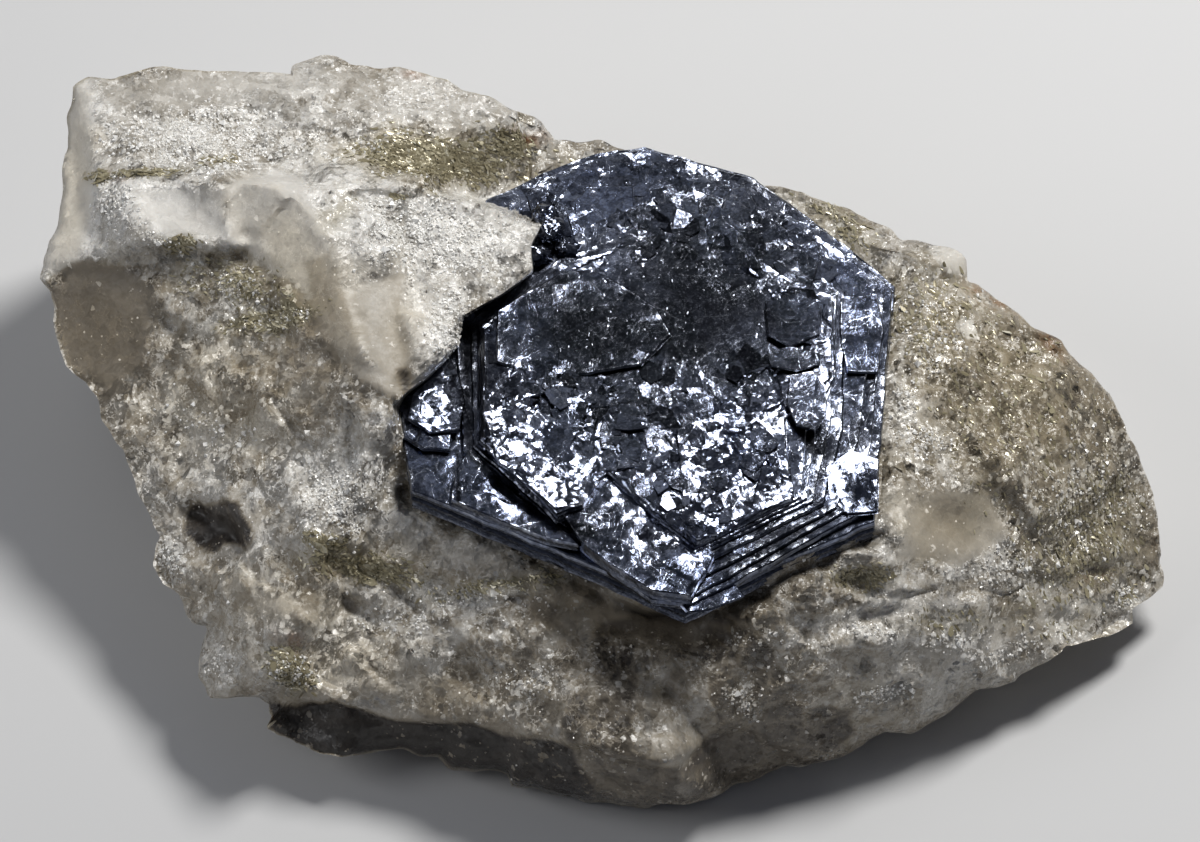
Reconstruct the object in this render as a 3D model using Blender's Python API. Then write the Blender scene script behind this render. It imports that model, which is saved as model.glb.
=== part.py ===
"""Molybdenite crystal on quartz: a broken lump of quartz with a tabular, six-sided crystal grown into its top.

Both solids are laid out in the view they are known from, which looks north and 54 degrees down. A point is named by
where it appears in that view, in picture units across and down, and by its height above the base in millimetres.
"""

import math

import bmesh
import bpy
import numpy as np

MM = 0.001
SPECIMEN_WIDTH = 35.0
WIDTH_IN_VIEW = 1137.0
UNIT = SPECIMEN_WIDTH / WIDTH_IN_VIEW
VIEW_ELEVATION = math.radians(54.0)
VIEW_CENTRE = (600.0, 421.0)
CENTRE_HEIGHT = 8.3
# Puts the middle of the finished box over the origin.
SHIFT = (-0.1, -1.86)

# The lump's outline in the view, clockwise from its upper left corner: across, down, height.
OUTLINE = (
    (63, 80, 8.5), (76, 70, 9.0), (102, 71, 9.2), (129, 65, 9.5), (161, 59, 9.7), (196, 63, 9.8), (241, 67, 9.8),
    (284, 69, 9.8), (288, 59, 10.0), (316, 49, 10.3), (332, 51, 10.3), (346, 59, 10.2), (397, 60, 10.0),
    (419, 63, 9.9), (445, 70, 9.8), (461, 84, 9.7), (495, 93, 9.6), (510, 103, 9.4), (532, 109, 9.2),
    (541, 115, 9.0), (553, 133, 8.6), (599, 134, 8.4), (629, 142, 8.2), (660, 150, 8.0), (700, 160, 7.9),
    (740, 172, 7.9), (765, 180, 8.0), (785, 181, 8.1), (830, 195, 8.1), (860, 207, 8.0), (884, 221, 8.0),
    (908, 236, 8.0), (928, 238, 8.1), (945, 243, 8.2), (962, 247, 8.1), (972, 258, 7.9), (975, 279, 7.6),
    (986, 282, 7.4), (1005, 301, 7.2), (1039, 325, 6.8), (1068, 340, 6.5), (1076, 354, 6.3), (1095, 369, 6.0),
    (1117, 393, 5.7), (1134, 437, 5.2), (1148, 464, 4.9), (1160, 495, 4.6), (1169, 539, 4.1), (1170, 569, 3.8),
    (1170, 589, 3.5), (1153, 605, 3.2), (1143, 613, 3.0), (1142, 626, 2.8), (1125, 639, 2.6), (1099, 645, 2.4),
    (1070, 649, 2.3), (1067, 656, 2.2), (1044, 669, 1.9), (1021, 686, 1.6), (1004, 694, 1.5), (984, 696, 1.4),
    (964, 709, 1.2), (935, 727, 1.0), (912, 737, 0.8), (889, 734, 0.8), (860, 749, 0.7), (846, 757, 0.6),
    (783, 770, 0.4), (763, 782, 0.3), (740, 788, 0.2), (700, 805, 0.1), (640, 812, 0.0), (560, 801, 0.1),
    (510, 792, 0.3), (507, 779, 0.5), (445, 772, 0.5), (437, 761, 0.7), (402, 756, 0.9), (368, 757, 0.9),
    (317, 756, 1.0), (290, 740, 1.2), (261, 732, 1.2), (267, 721, 1.6), (266, 708, 1.9), (258, 700, 2.0),
    (207, 700, 1.8), (194, 681, 2.2), (198, 651, 2.8), (202, 630, 3.2), (188, 625, 3.3), (180, 606, 3.5),
    (156, 587, 3.8), (145, 568, 4.0), (156, 538, 4.4), (148, 524, 4.5), (130, 488, 4.9), (117, 450, 5.3),
    (96, 414, 5.7), (79, 382, 5.9), (58, 366, 6.1), (44, 333, 6.4), (44, 307, 6.7), (40, 289, 6.9),
    (30, 276, 7.0), (43, 234, 7.3), (53, 200, 7.6), (55, 180, 7.8), (54, 148, 8.0), (58, 121, 8.2),
)

# Fracture faces, each by a point on it (across, down, height) and the azimuth and elevation it faces, in degrees.
MAIN_FACES = (
    (655, 382, 8.4, 0, 90),
    (900, 330, 8.3, -25, 73),
    (1110, 480, 5.8, -8, 45),
    (1000, 600, 4.3, -40, 40),
    (860, 560, 7.5, -72, 28),
    (660, 612, 8.0, -85, 22),
    (450, 520, 8.1, -97, 43),
    (600, 735, 3.0, -92, 12),
    (230, 680, 2.4, -124, 52),
)
LEFT_FACES = (
    (300, 150, 9.5, 180, 88),
    (500, 170, 9.1, -40, 74),
    (230, 680, 2.4, -124, 52),
    (86, 170, 9.1, 192, 28),
    (545, 150, 8.6, 5, 30),
)
BLOCK_FACES = (
    (530, 240, 9.9, -41, 74),
    (290, 175, 11.4, 220, 47),
    (540, 222, 9.8, -5, 10),
    (480, 322, 9.6, -40, 15),
    (400, 180, 11.0, 92, 46),
)
UNDER_FACES = (
    (316, 60, 9.8, 95, 12),
    (700, 165, 7.8, 78, 8),
    (1030, 320, 6.8, 42, 0),
    (1165, 560, 3.8, -12, -32),
    (1040, 670, 1.9, -48, -45),
    (600, 805, 0.2, -92, -50),
    (200, 680, 2.2, 235, -45),
    (140, 540, 4.4, 208, -30),
    (35, 270, 7.0, 168, -8),
)
FLOOR_DEPTH = 0.5
LEAST_THICKNESS = 0.5
EDGE_SHARPNESS = 14.0
# How much the facets die away at the outline, and how close to it.
CALM_AT_EDGE = 0.75
CALM_SHARPNESS = 9.0
# Broken facets: the size of one, how far it stands in or out, and the number its pattern is drawn from.
FACETS = ((4.2, 0.34, 11), (1.9, 0.17, 23))
FACET_CRISPNESS = 26.0
RINGS = 112
SPOKES = 184
MATRIX_TRIANGLES = 6400

# Crystal plates from the lowest up: underside, top, and corners in the view.
PLATES = (
    (7.1, 8.15, ((430, 290), (399, 406), (412, 490), (573, 556), (685, 606), (776, 562), (873, 521), (884, 400),
                 (897, 285), (852, 247), (755, 174), (645, 143), (483, 205))),
    (8.0, 8.7, ((462, 318), (470, 452), (560, 521), (652, 594), (734, 577), (868, 507), (879, 440), (892, 290),
                (846, 246), (754, 178), (646, 148), (545, 190))),
    (8.6, 9.1, ((479, 326), (474, 450), (560, 515), (655, 568), (790, 507), (841, 430), (842, 298), (800, 236),
                (720, 185), (636, 166), (556, 212))),
    (9.0, 9.4, ((487, 330), (482, 446), (562, 507), (692, 547), (788, 497), (832, 402), (834, 302), (784, 246),
                (704, 206), (608, 222), (546, 262))),
)
BOWL = (682.0, 318.0, 10.9)
BOWL_RADIUS = 5.0
BOWL_STRETCH = (0.85, 0.95, 0.45)
SOCKET_GAP = 0.35
SOCKET_TOP = 9.0
WELD = 1e-6

SIN_E = math.sin(VIEW_ELEVATION)
COS_E = math.cos(VIEW_ELEVATION)
# The view's own directions in the part's frame: across, up the picture, and towards the viewer.
ACROSS = np.array((1.0, 0.0, 0.0))
UPWARD = np.array((0.0, SIN_E, COS_E))
TOWARD = np.array((0.0, -COS_E, SIN_E))
MIDDLE = np.array((0.0, 0.0, CENTRE_HEIGHT))


def in_view(across, down):
    """The view's flat coordinates, in millimetres from its centre."""
    return (across - VIEW_CENTRE[0]) * UNIT, (VIEW_CENTRE[1] - down) * UNIT


def depth_at(down, height):
    """How far towards the viewer a point of this height lies, at this place down the picture."""
    up = (VIEW_CENTRE[1] - down) * UNIT
    return (height - CENTRE_HEIGHT - up * COS_E) / SIN_E


def placed(across, up, depth):
    """The point of the part at flat view coordinates and a depth."""
    return MIDDLE + np.multiply.outer(across, ACROSS) + np.multiply.outer(up, UPWARD) + np.multiply.outer(depth, TOWARD)


def facing(azimuth, elevation):
    az, el = math.radians(azimuth), math.radians(elevation)
    return np.array((math.cos(el) * math.cos(az), math.cos(el) * math.sin(az), math.sin(el)))


def depth_of_face(face, across, up):
    """The depth of a fracture face at each flat view coordinate."""
    down_across, down, height, azimuth, elevation = face
    normal = facing(azimuth, elevation)
    on_face = placed(*in_view(down_across, down), depth_at(down, height))
    return ((on_face - placed(across, up, 0.0 * across)) @ normal) / (normal @ TOWARD)


def front_depth(across, up):
    """The near surface: the nearest of three chunks, each one cut by its own faces."""
    chunks = [
        np.min([depth_of_face(face, across, up) for face in faces], axis=0)
        for faces in (MAIN_FACES, LEFT_FACES, BLOCK_FACES)
    ]
    return np.max(chunks, axis=0)


def back_depth(across, up):
    """The far surface, which the flat base bounds, and which always lies behind the near one."""
    base = (-FLOOR_DEPTH - CENTRE_HEIGHT - up * COS_E) / SIN_E
    far = np.max([base] + [depth_of_face(face, across, up) for face in UNDER_FACES], axis=0)
    return np.minimum(far, front_depth(across, up) - LEAST_THICKNESS)


def outline_at(angle):
    """The outline's distance from the view's centre and its depth, for each angle round the view."""
    across, down, height = np.array(OUTLINE, float).T
    u, v = in_view(across, down)
    turn = np.arctan2(v, u)
    order = np.argsort(turn)
    full = 2 * math.pi
    distance = np.interp(angle, turn[order], np.hypot(u, v)[order], period=full)
    return distance, np.interp(angle, turn[order], depth_at(down, height)[order], period=full)


def lump_surface(direction):
    """Carries a unit sphere, whose pole looks at the viewer, onto the plain lump. Also how rough each point may be."""
    angle = np.arctan2(direction[:, 1], direction[:, 0])
    polar = np.arccos(np.clip(direction[:, 2], -1.0, 1.0))
    front = polar <= math.pi / 2
    from_pole = np.where(front, polar, math.pi - polar) / (math.pi / 2)
    reach = 0.55 * np.sin(from_pole * math.pi / 2) + 0.45 * from_pole
    distance, edge = outline_at(angle)
    u, v = distance * np.cos(angle), distance * np.sin(angle)
    edge = np.clip(edge, back_depth(u, v), front_depth(u, v))
    u, v = reach * u, reach * v
    depth = np.where(front, front_depth(u, v), back_depth(u, v))
    fullness = np.sqrt(1.0 - np.clip(reach, 0.0, 1.0) ** EDGE_SHARPNESS)
    return placed(u, v, edge + (depth - edge) * fullness), 1.0 - CALM_AT_EDGE * reach**CALM_SHARPNESS


def drawn(cell, salt):
    """A repeatable number from 0 to 1 for each whole-numbered cell."""
    mixed = cell[..., 0] * 73856093 + cell[..., 1] * 19349663 + cell[..., 2] * 83492791 + salt * 40503
    mixed = (mixed ^ (mixed >> 13)) * 1274126177 & 0xFFFFFFFF
    mixed = (mixed ^ (mixed >> 16)) * 668265263 & 0xFFFFFFFF
    return ((mixed ^ (mixed >> 15)) & 0xFFFFF) / 0xFFFFF


def facet_noise(points, size, salt):
    """Flat facets at random slants, about -1 to 1: each seed's plane, blended sharply with its neighbours'."""
    scaled = points / size
    home = np.floor(scaled).astype(np.int64)
    total, weights = np.zeros(len(points)), np.zeros(len(points))
    for dx in (-1, 0, 1):
        for dy in (-1, 0, 1):
            for dz in (-1, 0, 1):
                cell = home + (dx, dy, dz)
                seed = cell + np.stack([drawn(cell, salt + k) for k in range(3)], axis=1)
                slant = 2 * np.stack([drawn(cell, salt + 3 + k) for k in range(3)], axis=1) - 1
                away = scaled - seed
                weight = np.exp(-FACET_CRISPNESS * (away**2).sum(axis=1))
                total += weight * ((away * slant).sum(axis=1) + drawn(cell, salt + 6) - 0.5)
                weights += weight
    return total / weights


def material(name, colour, roughness, metallic):
    made = bpy.data.materials.new(name)
    made.use_nodes = True
    shader = made.node_tree.nodes["Principled BSDF"]
    shader.inputs["Base Color"].default_value = (*colour, 1.0)
    shader.inputs["Roughness"].default_value = roughness
    shader.inputs["Metallic"].default_value = metallic
    return made


def new_object(name, shape, collection):
    mesh = bpy.data.meshes.new(name)
    shape.to_mesh(mesh)
    shape.free()
    obj = bpy.data.objects.new(name, mesh)
    collection.objects.link(obj)
    return obj


def boolean(obj, name, cutter, operation):
    modifier = obj.modifiers.new(name, "BOOLEAN")
    modifier.operation = operation
    modifier.solver = "EXACT"
    modifier.object = cutter


def plate(name, corners, level, underside, top, grow, collection):
    """A flat plate whose corners are seen in the view at the given level, each moved out from the middle by grow."""
    points = np.array([placed(*in_view(a, d), depth_at(d, level)) for a, d in corners])[:, :2]
    middle = points.mean(axis=0)
    outward = points - middle
    points = (middle + outward * (1 + grow / np.linalg.norm(outward, axis=1, keepdims=True)) + SHIFT) * MM
    curve = bpy.data.curves.new(name, "CURVE")
    curve.dimensions = "2D"
    curve.fill_mode = "BOTH"
    curve.extrude = (top - underside) / 2 * MM
    spline = curve.splines.new("POLY")
    spline.points.add(len(points) - 1)
    for point, (x, y) in zip(spline.points, points):
        point.co = (x, y, 0.0, 1.0)
    spline.use_cyclic_u = True
    outline = bpy.data.objects.new(name + "_outline", curve)
    collection.objects.link(outline)
    graph = bpy.context.evaluated_depsgraph_get()
    shape = bmesh.new()
    shape.from_mesh(bpy.data.meshes.new_from_object(outline.evaluated_get(graph)))
    bpy.data.objects.remove(outline)
    bmesh.ops.remove_doubles(shape, verts=shape.verts, dist=WELD)
    bmesh.ops.translate(shape, verts=shape.verts, vec=(0, 0, (top + underside) / 2 * MM))
    bmesh.ops.recalc_face_normals(shape, faces=shape.faces)
    return new_object(name, shape, collection)


def lump(collection):
    """The quartz before it is cut: a sphere carried onto the lump, then broken into facets along its normals."""
    shape = bmesh.new()
    bmesh.ops.create_uvsphere(shape, u_segments=SPOKES, v_segments=RINGS, radius=1.0)
    directions = np.array([vert.co for vert in shape.verts])
    directions /= np.linalg.norm(directions, axis=1, keepdims=True)
    points, roughness = lump_surface(directions)
    for vert, point in zip(shape.verts, points):
        vert.co = point
    shape.normal_update()
    normals = np.array([vert.normal for vert in shape.verts])
    for size, amount, salt in FACETS:
        points = points + normals * (amount * roughness * facet_noise(points, size, salt))[:, None]
    for vert, point in zip(shape.verts, points):
        vert.co = (point + (*SHIFT, 0.0)) * MM
    obj = new_object("quartz_matrix", shape, collection)
    decimate = obj.modifiers.new("Broken faces", "DECIMATE")
    decimate.ratio = MATRIX_TRIANGLES / (2 * SPOKES * (RINGS - 1))
    return obj


def main():
    for obj in list(bpy.data.objects):
        bpy.data.objects.remove(obj)
    scene = bpy.context.scene
    parts = bpy.data.collections.new("molybdenite_on_quartz")
    helpers = bpy.data.collections.new("helpers")
    scene.collection.children.link(parts)
    scene.collection.children.link(helpers)

    matrix = lump(parts)
    matrix.data.materials.append(material("quartz", (0.62, 0.58, 0.53), 0.45, 0.0))

    slab = bmesh.new()
    bmesh.ops.create_cube(slab, size=1.0)
    bmesh.ops.scale(slab, vec=(0.08, 0.08, 0.01), verts=slab.verts)
    bmesh.ops.translate(slab, vec=(0, 0, -0.005), verts=slab.verts)
    boolean(matrix, "Flat base", new_object("floor_slab", slab, helpers), "DIFFERENCE")

    crystal = None
    for index, (underside, top, corners) in enumerate(PLATES):
        if crystal is None:
            crystal = plate("molybdenite_crystal", corners, top, underside, top, 0.0, parts)
        else:
            added = plate(f"plate_{index}", corners, top, underside, top, 0.0, helpers)
            boolean(crystal, f"Plate {index}", added, "UNION")
        cut_top = max(SOCKET_TOP, top + SOCKET_GAP)
        cutter = plate(f"socket_{index}", corners, top, underside - SOCKET_GAP, cut_top, SOCKET_GAP, helpers)
        boolean(matrix, f"Socket {index}", cutter, "DIFFERENCE")
    crystal.data.materials.append(material("molybdenite", (0.30, 0.32, 0.38), 0.25, 1.0))

    bowl = bmesh.new()
    bmesh.ops.create_uvsphere(bowl, u_segments=40, v_segments=20, radius=BOWL_RADIUS * MM)
    bmesh.ops.scale(bowl, vec=BOWL_STRETCH, verts=bowl.verts)
    centre = placed(*in_view(*BOWL[:2]), depth_at(BOWL[1], BOWL[2])) + (*SHIFT, 0.0)
    bmesh.ops.translate(bowl, vec=centre * MM, verts=bowl.verts)
    boolean(crystal, "Sunken middle", new_object("bowl", bowl, helpers), "DIFFERENCE")

    for helper in helpers.objects:
        helper.hide_render = True
        helper.display_type = "WIRE"


main()
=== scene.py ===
"""Builds the looks of a molybdenite crystal on quartz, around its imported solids.

Shapes are laid out in the view that the specimen is known from, which looks north and 54 degrees down. A place in
that view is given in picture units across and down, and a height in millimetres above the flat base.
"""

import math

import bpy
import numpy as np
from bpy.props import FloatProperty, FloatVectorProperty, IntProperty, PointerProperty
from bpy.types import Operator, Panel, PropertyGroup
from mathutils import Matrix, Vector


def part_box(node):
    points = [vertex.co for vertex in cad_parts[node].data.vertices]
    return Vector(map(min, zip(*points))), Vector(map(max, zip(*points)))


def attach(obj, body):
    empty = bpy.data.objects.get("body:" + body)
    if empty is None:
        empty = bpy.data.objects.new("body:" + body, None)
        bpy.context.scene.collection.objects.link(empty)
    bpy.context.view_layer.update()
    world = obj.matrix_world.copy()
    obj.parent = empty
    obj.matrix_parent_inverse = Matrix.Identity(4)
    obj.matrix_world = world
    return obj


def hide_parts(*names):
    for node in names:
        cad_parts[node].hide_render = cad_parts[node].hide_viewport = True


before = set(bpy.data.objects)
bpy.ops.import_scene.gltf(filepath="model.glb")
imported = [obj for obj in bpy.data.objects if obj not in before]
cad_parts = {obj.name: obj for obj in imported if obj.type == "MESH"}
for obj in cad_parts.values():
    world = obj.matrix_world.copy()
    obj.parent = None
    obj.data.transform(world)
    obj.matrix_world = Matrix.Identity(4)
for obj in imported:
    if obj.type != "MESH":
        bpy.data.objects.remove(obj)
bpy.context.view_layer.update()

bl_info = {
    "name": "Molybdenite on Quartz",
    "version": (1, 0, 0),
    "blender": (4, 5, 0),
    "location": "View3D > Sidebar > Specimen",
    "description": "Makes a broken lump of quartz with a tabular molybdenite crystal in it",
    "category": "Add Mesh",
}

# The view
MM = 0.001
UNIT = 35.0 / 1137.0
VIEW_ELEVATION = math.radians(54.0)
VIEW_CENTRE = (600.0, 421.0)
VIEW_WIDTH = 1200.0
CENTRE_HEIGHT = 8.3
SHIFT = np.array((-0.1, -1.86, 0.0))
SIN_E = math.sin(VIEW_ELEVATION)
COS_E = math.cos(VIEW_ELEVATION)
ACROSS = np.array((1.0, 0.0, 0.0))
UPWARD = np.array((0.0, SIN_E, COS_E))
TOWARD = np.array((0.0, -COS_E, SIN_E))
MIDDLE = np.array((0.0, 0.0, CENTRE_HEIGHT))
FULL_TURN = 2 * math.pi

# Where the key light stands, as seen from the specimen, in degrees.
KEY_AZIMUTH = 45.0
KEY_ELEVATION = 60.0

# The lump's outline in the view, clockwise from its upper left corner: across, down, height.
OUTLINE = (
    (63, 80, 8.5), (76, 70, 9.0), (102, 71, 9.2), (129, 65, 9.5), (161, 59, 9.7), (196, 63, 9.8), (241, 67, 9.8),
    (284, 69, 9.8), (288, 59, 10.0), (316, 49, 10.3), (332, 51, 10.3), (346, 59, 10.2), (397, 60, 10.0),
    (419, 63, 9.9), (445, 70, 9.8), (461, 84, 9.7), (495, 93, 9.6), (510, 103, 9.4), (532, 109, 9.2),
    (541, 115, 9.0), (553, 133, 8.6), (599, 134, 8.4), (629, 142, 8.2), (660, 150, 8.0), (700, 160, 7.9),
    (740, 172, 7.9), (765, 180, 8.0), (785, 181, 8.1), (830, 195, 8.1), (860, 207, 8.0), (884, 221, 8.0),
    (908, 236, 8.0), (928, 238, 8.1), (945, 243, 8.2), (962, 247, 8.1), (972, 258, 7.9), (975, 279, 7.6),
    (986, 282, 7.4), (1005, 301, 7.2), (1039, 325, 6.8), (1068, 340, 6.5), (1076, 354, 6.3), (1095, 369, 6.0),
    (1117, 393, 5.7), (1134, 437, 5.2), (1148, 464, 4.9), (1160, 495, 4.6), (1169, 539, 4.1), (1170, 569, 3.8),
    (1170, 589, 3.5), (1153, 605, 3.2), (1143, 613, 3.0), (1142, 626, 2.8), (1125, 639, 2.6), (1099, 645, 2.4),
    (1070, 649, 2.3), (1067, 656, 2.2), (1044, 669, 1.9), (1021, 686, 1.6), (1004, 694, 1.5), (984, 696, 1.4),
    (964, 709, 1.2), (935, 727, 1.0), (912, 737, 0.8), (889, 734, 0.8), (860, 749, 0.7), (846, 757, 0.6),
    (783, 770, 0.4), (763, 782, 0.3), (740, 788, 0.2), (700, 805, 0.1), (640, 812, 0.0), (560, 801, 0.1),
    (510, 792, 0.3), (507, 779, 0.5), (445, 772, 0.5), (437, 761, 0.7), (402, 756, 0.9), (368, 757, 0.9),
    (317, 756, 1.0), (290, 740, 1.2), (261, 732, 1.2), (267, 721, 1.6), (266, 708, 1.9), (258, 700, 2.0),
    (207, 700, 1.8), (194, 681, 2.2), (198, 651, 2.8), (202, 630, 3.2), (188, 625, 3.3), (180, 606, 3.5),
    (156, 587, 3.8), (145, 568, 4.0), (156, 538, 4.4), (148, 524, 4.5), (130, 488, 4.9), (117, 450, 5.3),
    (96, 414, 5.7), (79, 382, 5.9), (58, 366, 6.1), (44, 333, 6.4), (44, 307, 6.7), (40, 289, 6.9),
    (30, 276, 7.0), (43, 234, 7.3), (53, 200, 7.6), (55, 180, 7.8), (54, 148, 8.0), (58, 121, 8.2),
)

# Fracture faces, each by a point on it (across, down, height) and the azimuth and elevation it faces, in degrees.
MAIN_FACES = (
    (655, 382, 8.4, 0, 90), (900, 330, 8.3, -25, 73), (1110, 480, 5.8, -8, 45), (1000, 600, 4.3, -40, 40),
    (860, 560, 7.5, -72, 28), (660, 612, 8.0, -85, 22), (450, 520, 8.1, -97, 43), (600, 735, 3.0, -92, 12),
    (230, 680, 2.4, -124, 52),
)
LEFT_FACES = (
    (300, 150, 9.5, 180, 88), (500, 170, 9.1, -40, 74), (230, 680, 2.4, -124, 52), (86, 170, 9.1, 192, 28),
    (545, 150, 8.6, 5, 30),
)
BLOCK_FACES = (
    (530, 240, 9.9, -41, 74), (341, 288, 10.7, 214.8, 48.5), (540, 222, 9.8, -5, 10), (480, 322, 9.6, -40, 15),
    (400, 180, 11.0, 92, 46),
)
UNDER_FACES = (
    (316, 60, 9.8, 95, 12), (700, 165, 7.8, 78, 8), (1030, 320, 6.8, 42, 0), (1165, 560, 3.8, -12, -32),
    (1040, 670, 1.9, -48, -45), (600, 805, 0.2, -92, -50), (200, 680, 2.2, 235, -45), (140, 540, 4.4, 208, -30),
    (35, 270, 7.0, 168, -8),
)
FLOOR_DEPTH = 0.5
LEAST_THICKNESS = 0.5
EDGE_SHARPNESS = 14.0
CALM_AT_EDGE = 0.75
CALM_SHARPNESS = 9.0
FACET_CRISPNESS = 26.0
# Broken facets of the whole lump: the size of one, how far it stands in or out, and its pattern's number.
BROAD_FACETS = ((4.2, 0.34, 11), (1.9, 0.17, 23))
# Shell-like scoops of the fracture: size, depth, pattern's number, and how much of them a glassy place keeps.
SCOOPS = ((2.7, 0.22, 31, 1.0), (1.35, 0.22, 37, 0.45), (0.68, 0.16, 41, 0.12), (0.40, 0.08, 47, 0.0))
# Fine grain of the fracture where mica and sugary quartz are: size, depth and pattern's number.
GRANULES = (0.27, 0.06, 67)

# The crest of the raised quartz block, the block's left side below it and a facet of its front, in the view.
CREST = ((300, 178), (313, 208), (327, 243), (336, 272), (347, 296), (355, 322), (361, 348), (370, 368), (402, 394))
BLOCK_SIDE = (
    (224, 240), (226, 200), (232, 180), (250, 173), (270, 168), *CREST, (390, 398), (355, 374), (314, 328),
    (304, 297), (260, 256),
)
BLOCK_FACET = (
    (345, 288), (375, 276), (408, 268), (402, 300), (402, 330), (414, 365), (408, 396), (398, 392), (372, 360),
    (352, 320),
)

# Shades of the quartz in the view, painted in turn: corners, width of the border, shade from 0, dark, to 1, white.
# Most are the quartz's own tone; some are painted light and shade, as marked.
SHADES = (
    (((0, 40), (560, 40), (575, 140), (610, 150), (483, 199), (400, 185), (310, 178), (272, 172), (236, 182),
        (228, 240), (245, 252), (185, 245), (120, 256), (62, 270), (30, 300), (0, 300)), 6, 0.54),
    (((0, 40), (78, 60), (92, 100), (90, 170), (88, 230), (66, 280), (30, 330), (0, 330)), 10, 0.86),
    (((95, 108), (300, 108), (320, 168), (230, 178), (100, 176)), 10, 0.54),
    # Painted light: this place left of the quartz block is made lighter against the block's cast shadow.
    (((112, 182), (225, 184), (228, 240), (190, 242), (130, 222)), 8, 0.78),
    (((302, 172), (400, 182), (480, 198), (545, 221), (530, 246), (532, 270), (502, 294), (464, 315), (455, 345),
        (410, 400), (402, 394), (370, 368), (355, 322), (336, 272), (313, 208)), 2, 0.66),
    (BLOCK_SIDE, 2, 0.80),
    (((300, 262), (330, 250), *CREST[4:], (390, 398), (355, 374), (314, 328)), 6, 0.46),
    (((352, 296), (375, 276), (408, 268), (402, 300), (402, 330), (414, 365), (408, 396), (398, 390), (372, 364),
        (360, 330)), 3, 0.47),
    # Painted shade in the small notch.
    (((399, 370), (408, 368), (411, 392), (403, 397)), 6, 0.15),
    (((50, 268), (120, 256), (185, 247), (240, 252), (306, 298), (356, 375), (404, 400), (400, 480), (430, 510),
        (560, 575), (600, 600), (560, 640), (470, 650), (400, 660), (250, 700), (180, 700), (100, 520), (0, 360)), 5,
        0.44),
    (((36, 290), (70, 260), (115, 262), (165, 275), (160, 340), (130, 400), (80, 400), (40, 340)), 10, 0.27),
    (((190, 252), (240, 256), (304, 298), (318, 330), (240, 340), (190, 300)), 8, 0.30),
    (((268, 330), (306, 306), (320, 334), (358, 378), (392, 402), (350, 412), (310, 430), (250, 410)), 8, 0.30),
    (((100, 440), (200, 440), (240, 500), (150, 520)), 16, 0.50),
    (((280, 450), (390, 460), (420, 560), (300, 560)), 20, 0.54),
    # Painted shade in the dark cavity.
    (((180, 516), (196, 502), (214, 508), (228, 498), (246, 512), (258, 534), (248, 552), (232, 544), (214, 554),
        (192, 546), (186, 532)), 7, 0.07),
    # Painted shade below the crystal's overhang.
    (((440, 560), (560, 575), (620, 604), (700, 612), (800, 570), (870, 600), (860, 640), (700, 660), (560, 640),
        (500, 600)), 14, 0.32),
    (((430, 650), (640, 640), (860, 650), (850, 760), (640, 812), (500, 790), (420, 720)), 16, 0.33),
    # Painted shade on the undercut bottom wall.
    (((255, 705), (330, 700), (395, 722), (470, 725), (560, 742), (640, 760), (640, 830), (255, 830)), 5, 0.03),
    (((600, 620), (760, 610), (790, 700), (820, 760), (700, 800), (600, 812), (560, 720)), 10, 0.17),
    (((640, 665), (700, 660), (712, 720), (680, 765), (630, 750)), 6, 0.36),
    # Painted shade in a crevice.
    (((812, 712), (850, 708), (858, 735), (830, 750), (808, 742)), 5, 0.12),
    (((960, 290), (1060, 330), (1130, 430), (1170, 560), (1100, 600), (1010, 560), (960, 450), (900, 330)), 30, 0.25),
    (((770, 625), (900, 600), (1010, 600), (1000, 690), (900, 735), (840, 700)), 14, 0.46),
    (((880, 490), (1000, 490), (1010, 545), (960, 575), (870, 560)), 12, 0.50),
    (((936, 238), (965, 245), (976, 262), (976, 282), (950, 272), (930, 250)), 4, 0.78),
    (((956, 322), (966, 317), (974, 324), (978, 336), (970, 336), (958, 328)), 2, 1.0),
    (((1050, 600), (1150, 596), (1150, 640), (1040, 680)), 12, 0.46),
)
PLAIN_SHADE = 0.40

# Patches in the view: across, down, half width, half height, turn in degrees, strength.
MICA_PATCHES = (
    (435, 160, 118, 28, 6, 1.0), (505, 142, 42, 20, 10, 0.9), (97, 175, 20, 11, 0, 0.9), (140, 172, 60, 5, -4, 0.9),
    (215, 160, 34, 5, -14, 0.8), (178, 243, 24, 12, -8, 0.9), (335, 212, 20, 26, 35, 0.7),
    (268, 318, 62, 14, -10, 1.0), (240, 285, 60, 34, 20, 0.6), (362, 568, 72, 18, 10, 0.9),
    (290, 665, 26, 18, 30, 1.0), (862, 576, 36, 14, 0, 0.9), (1000, 400, 150, 130, 40, 0.32),
    (930, 320, 60, 80, 30, 0.4), (1090, 540, 90, 90, 20, 0.5), (840, 226, 62, 24, 38, 0.6),
    (500, 585, 80, 12, -8, 0.6), (940, 620, 70, 20, 0, 0.4), (395, 196, 14, 8, -10, 1.0), (1130, 600, 18, 16, 0, 0.6),
    (330, 545, 30, 16, 20, 0.9),
)
GLASSY_PATCHES = (
    (72, 180, 20, 112, 3, 1.0), (170, 88, 112, 18, -4, 0.8), (172, 212, 62, 27, 0, 1.0), (288, 245, 46, 92, -32, 1.0),
    (400, 335, 28, 56, -10, 1.0), (98, 330, 60, 70, 10, 0.8), (650, 618, 110, 34, 5, 1.0), (640, 700, 84, 40, 0, 0.5),
    (420, 742, 190, 40, 8, 0.9), (218, 526, 44, 28, 10, 0.9), (945, 522, 62, 34, 20, 0.8),
    (1000, 630, 80, 30, -14, 0.6), (340, 80, 120, 18, 4, 0.5), (310, 375, 50, 40, 0, 0.5),
    (480, 560, 60, 20, 20, 0.5), (955, 262, 24, 20, 0, 1.0), (290, 610, 60, 16, 14, 0.7),
    (700, 750, 150, 40, -8, 0.7), (400, 690, 60, 20, 0, 0.7),
)
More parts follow.
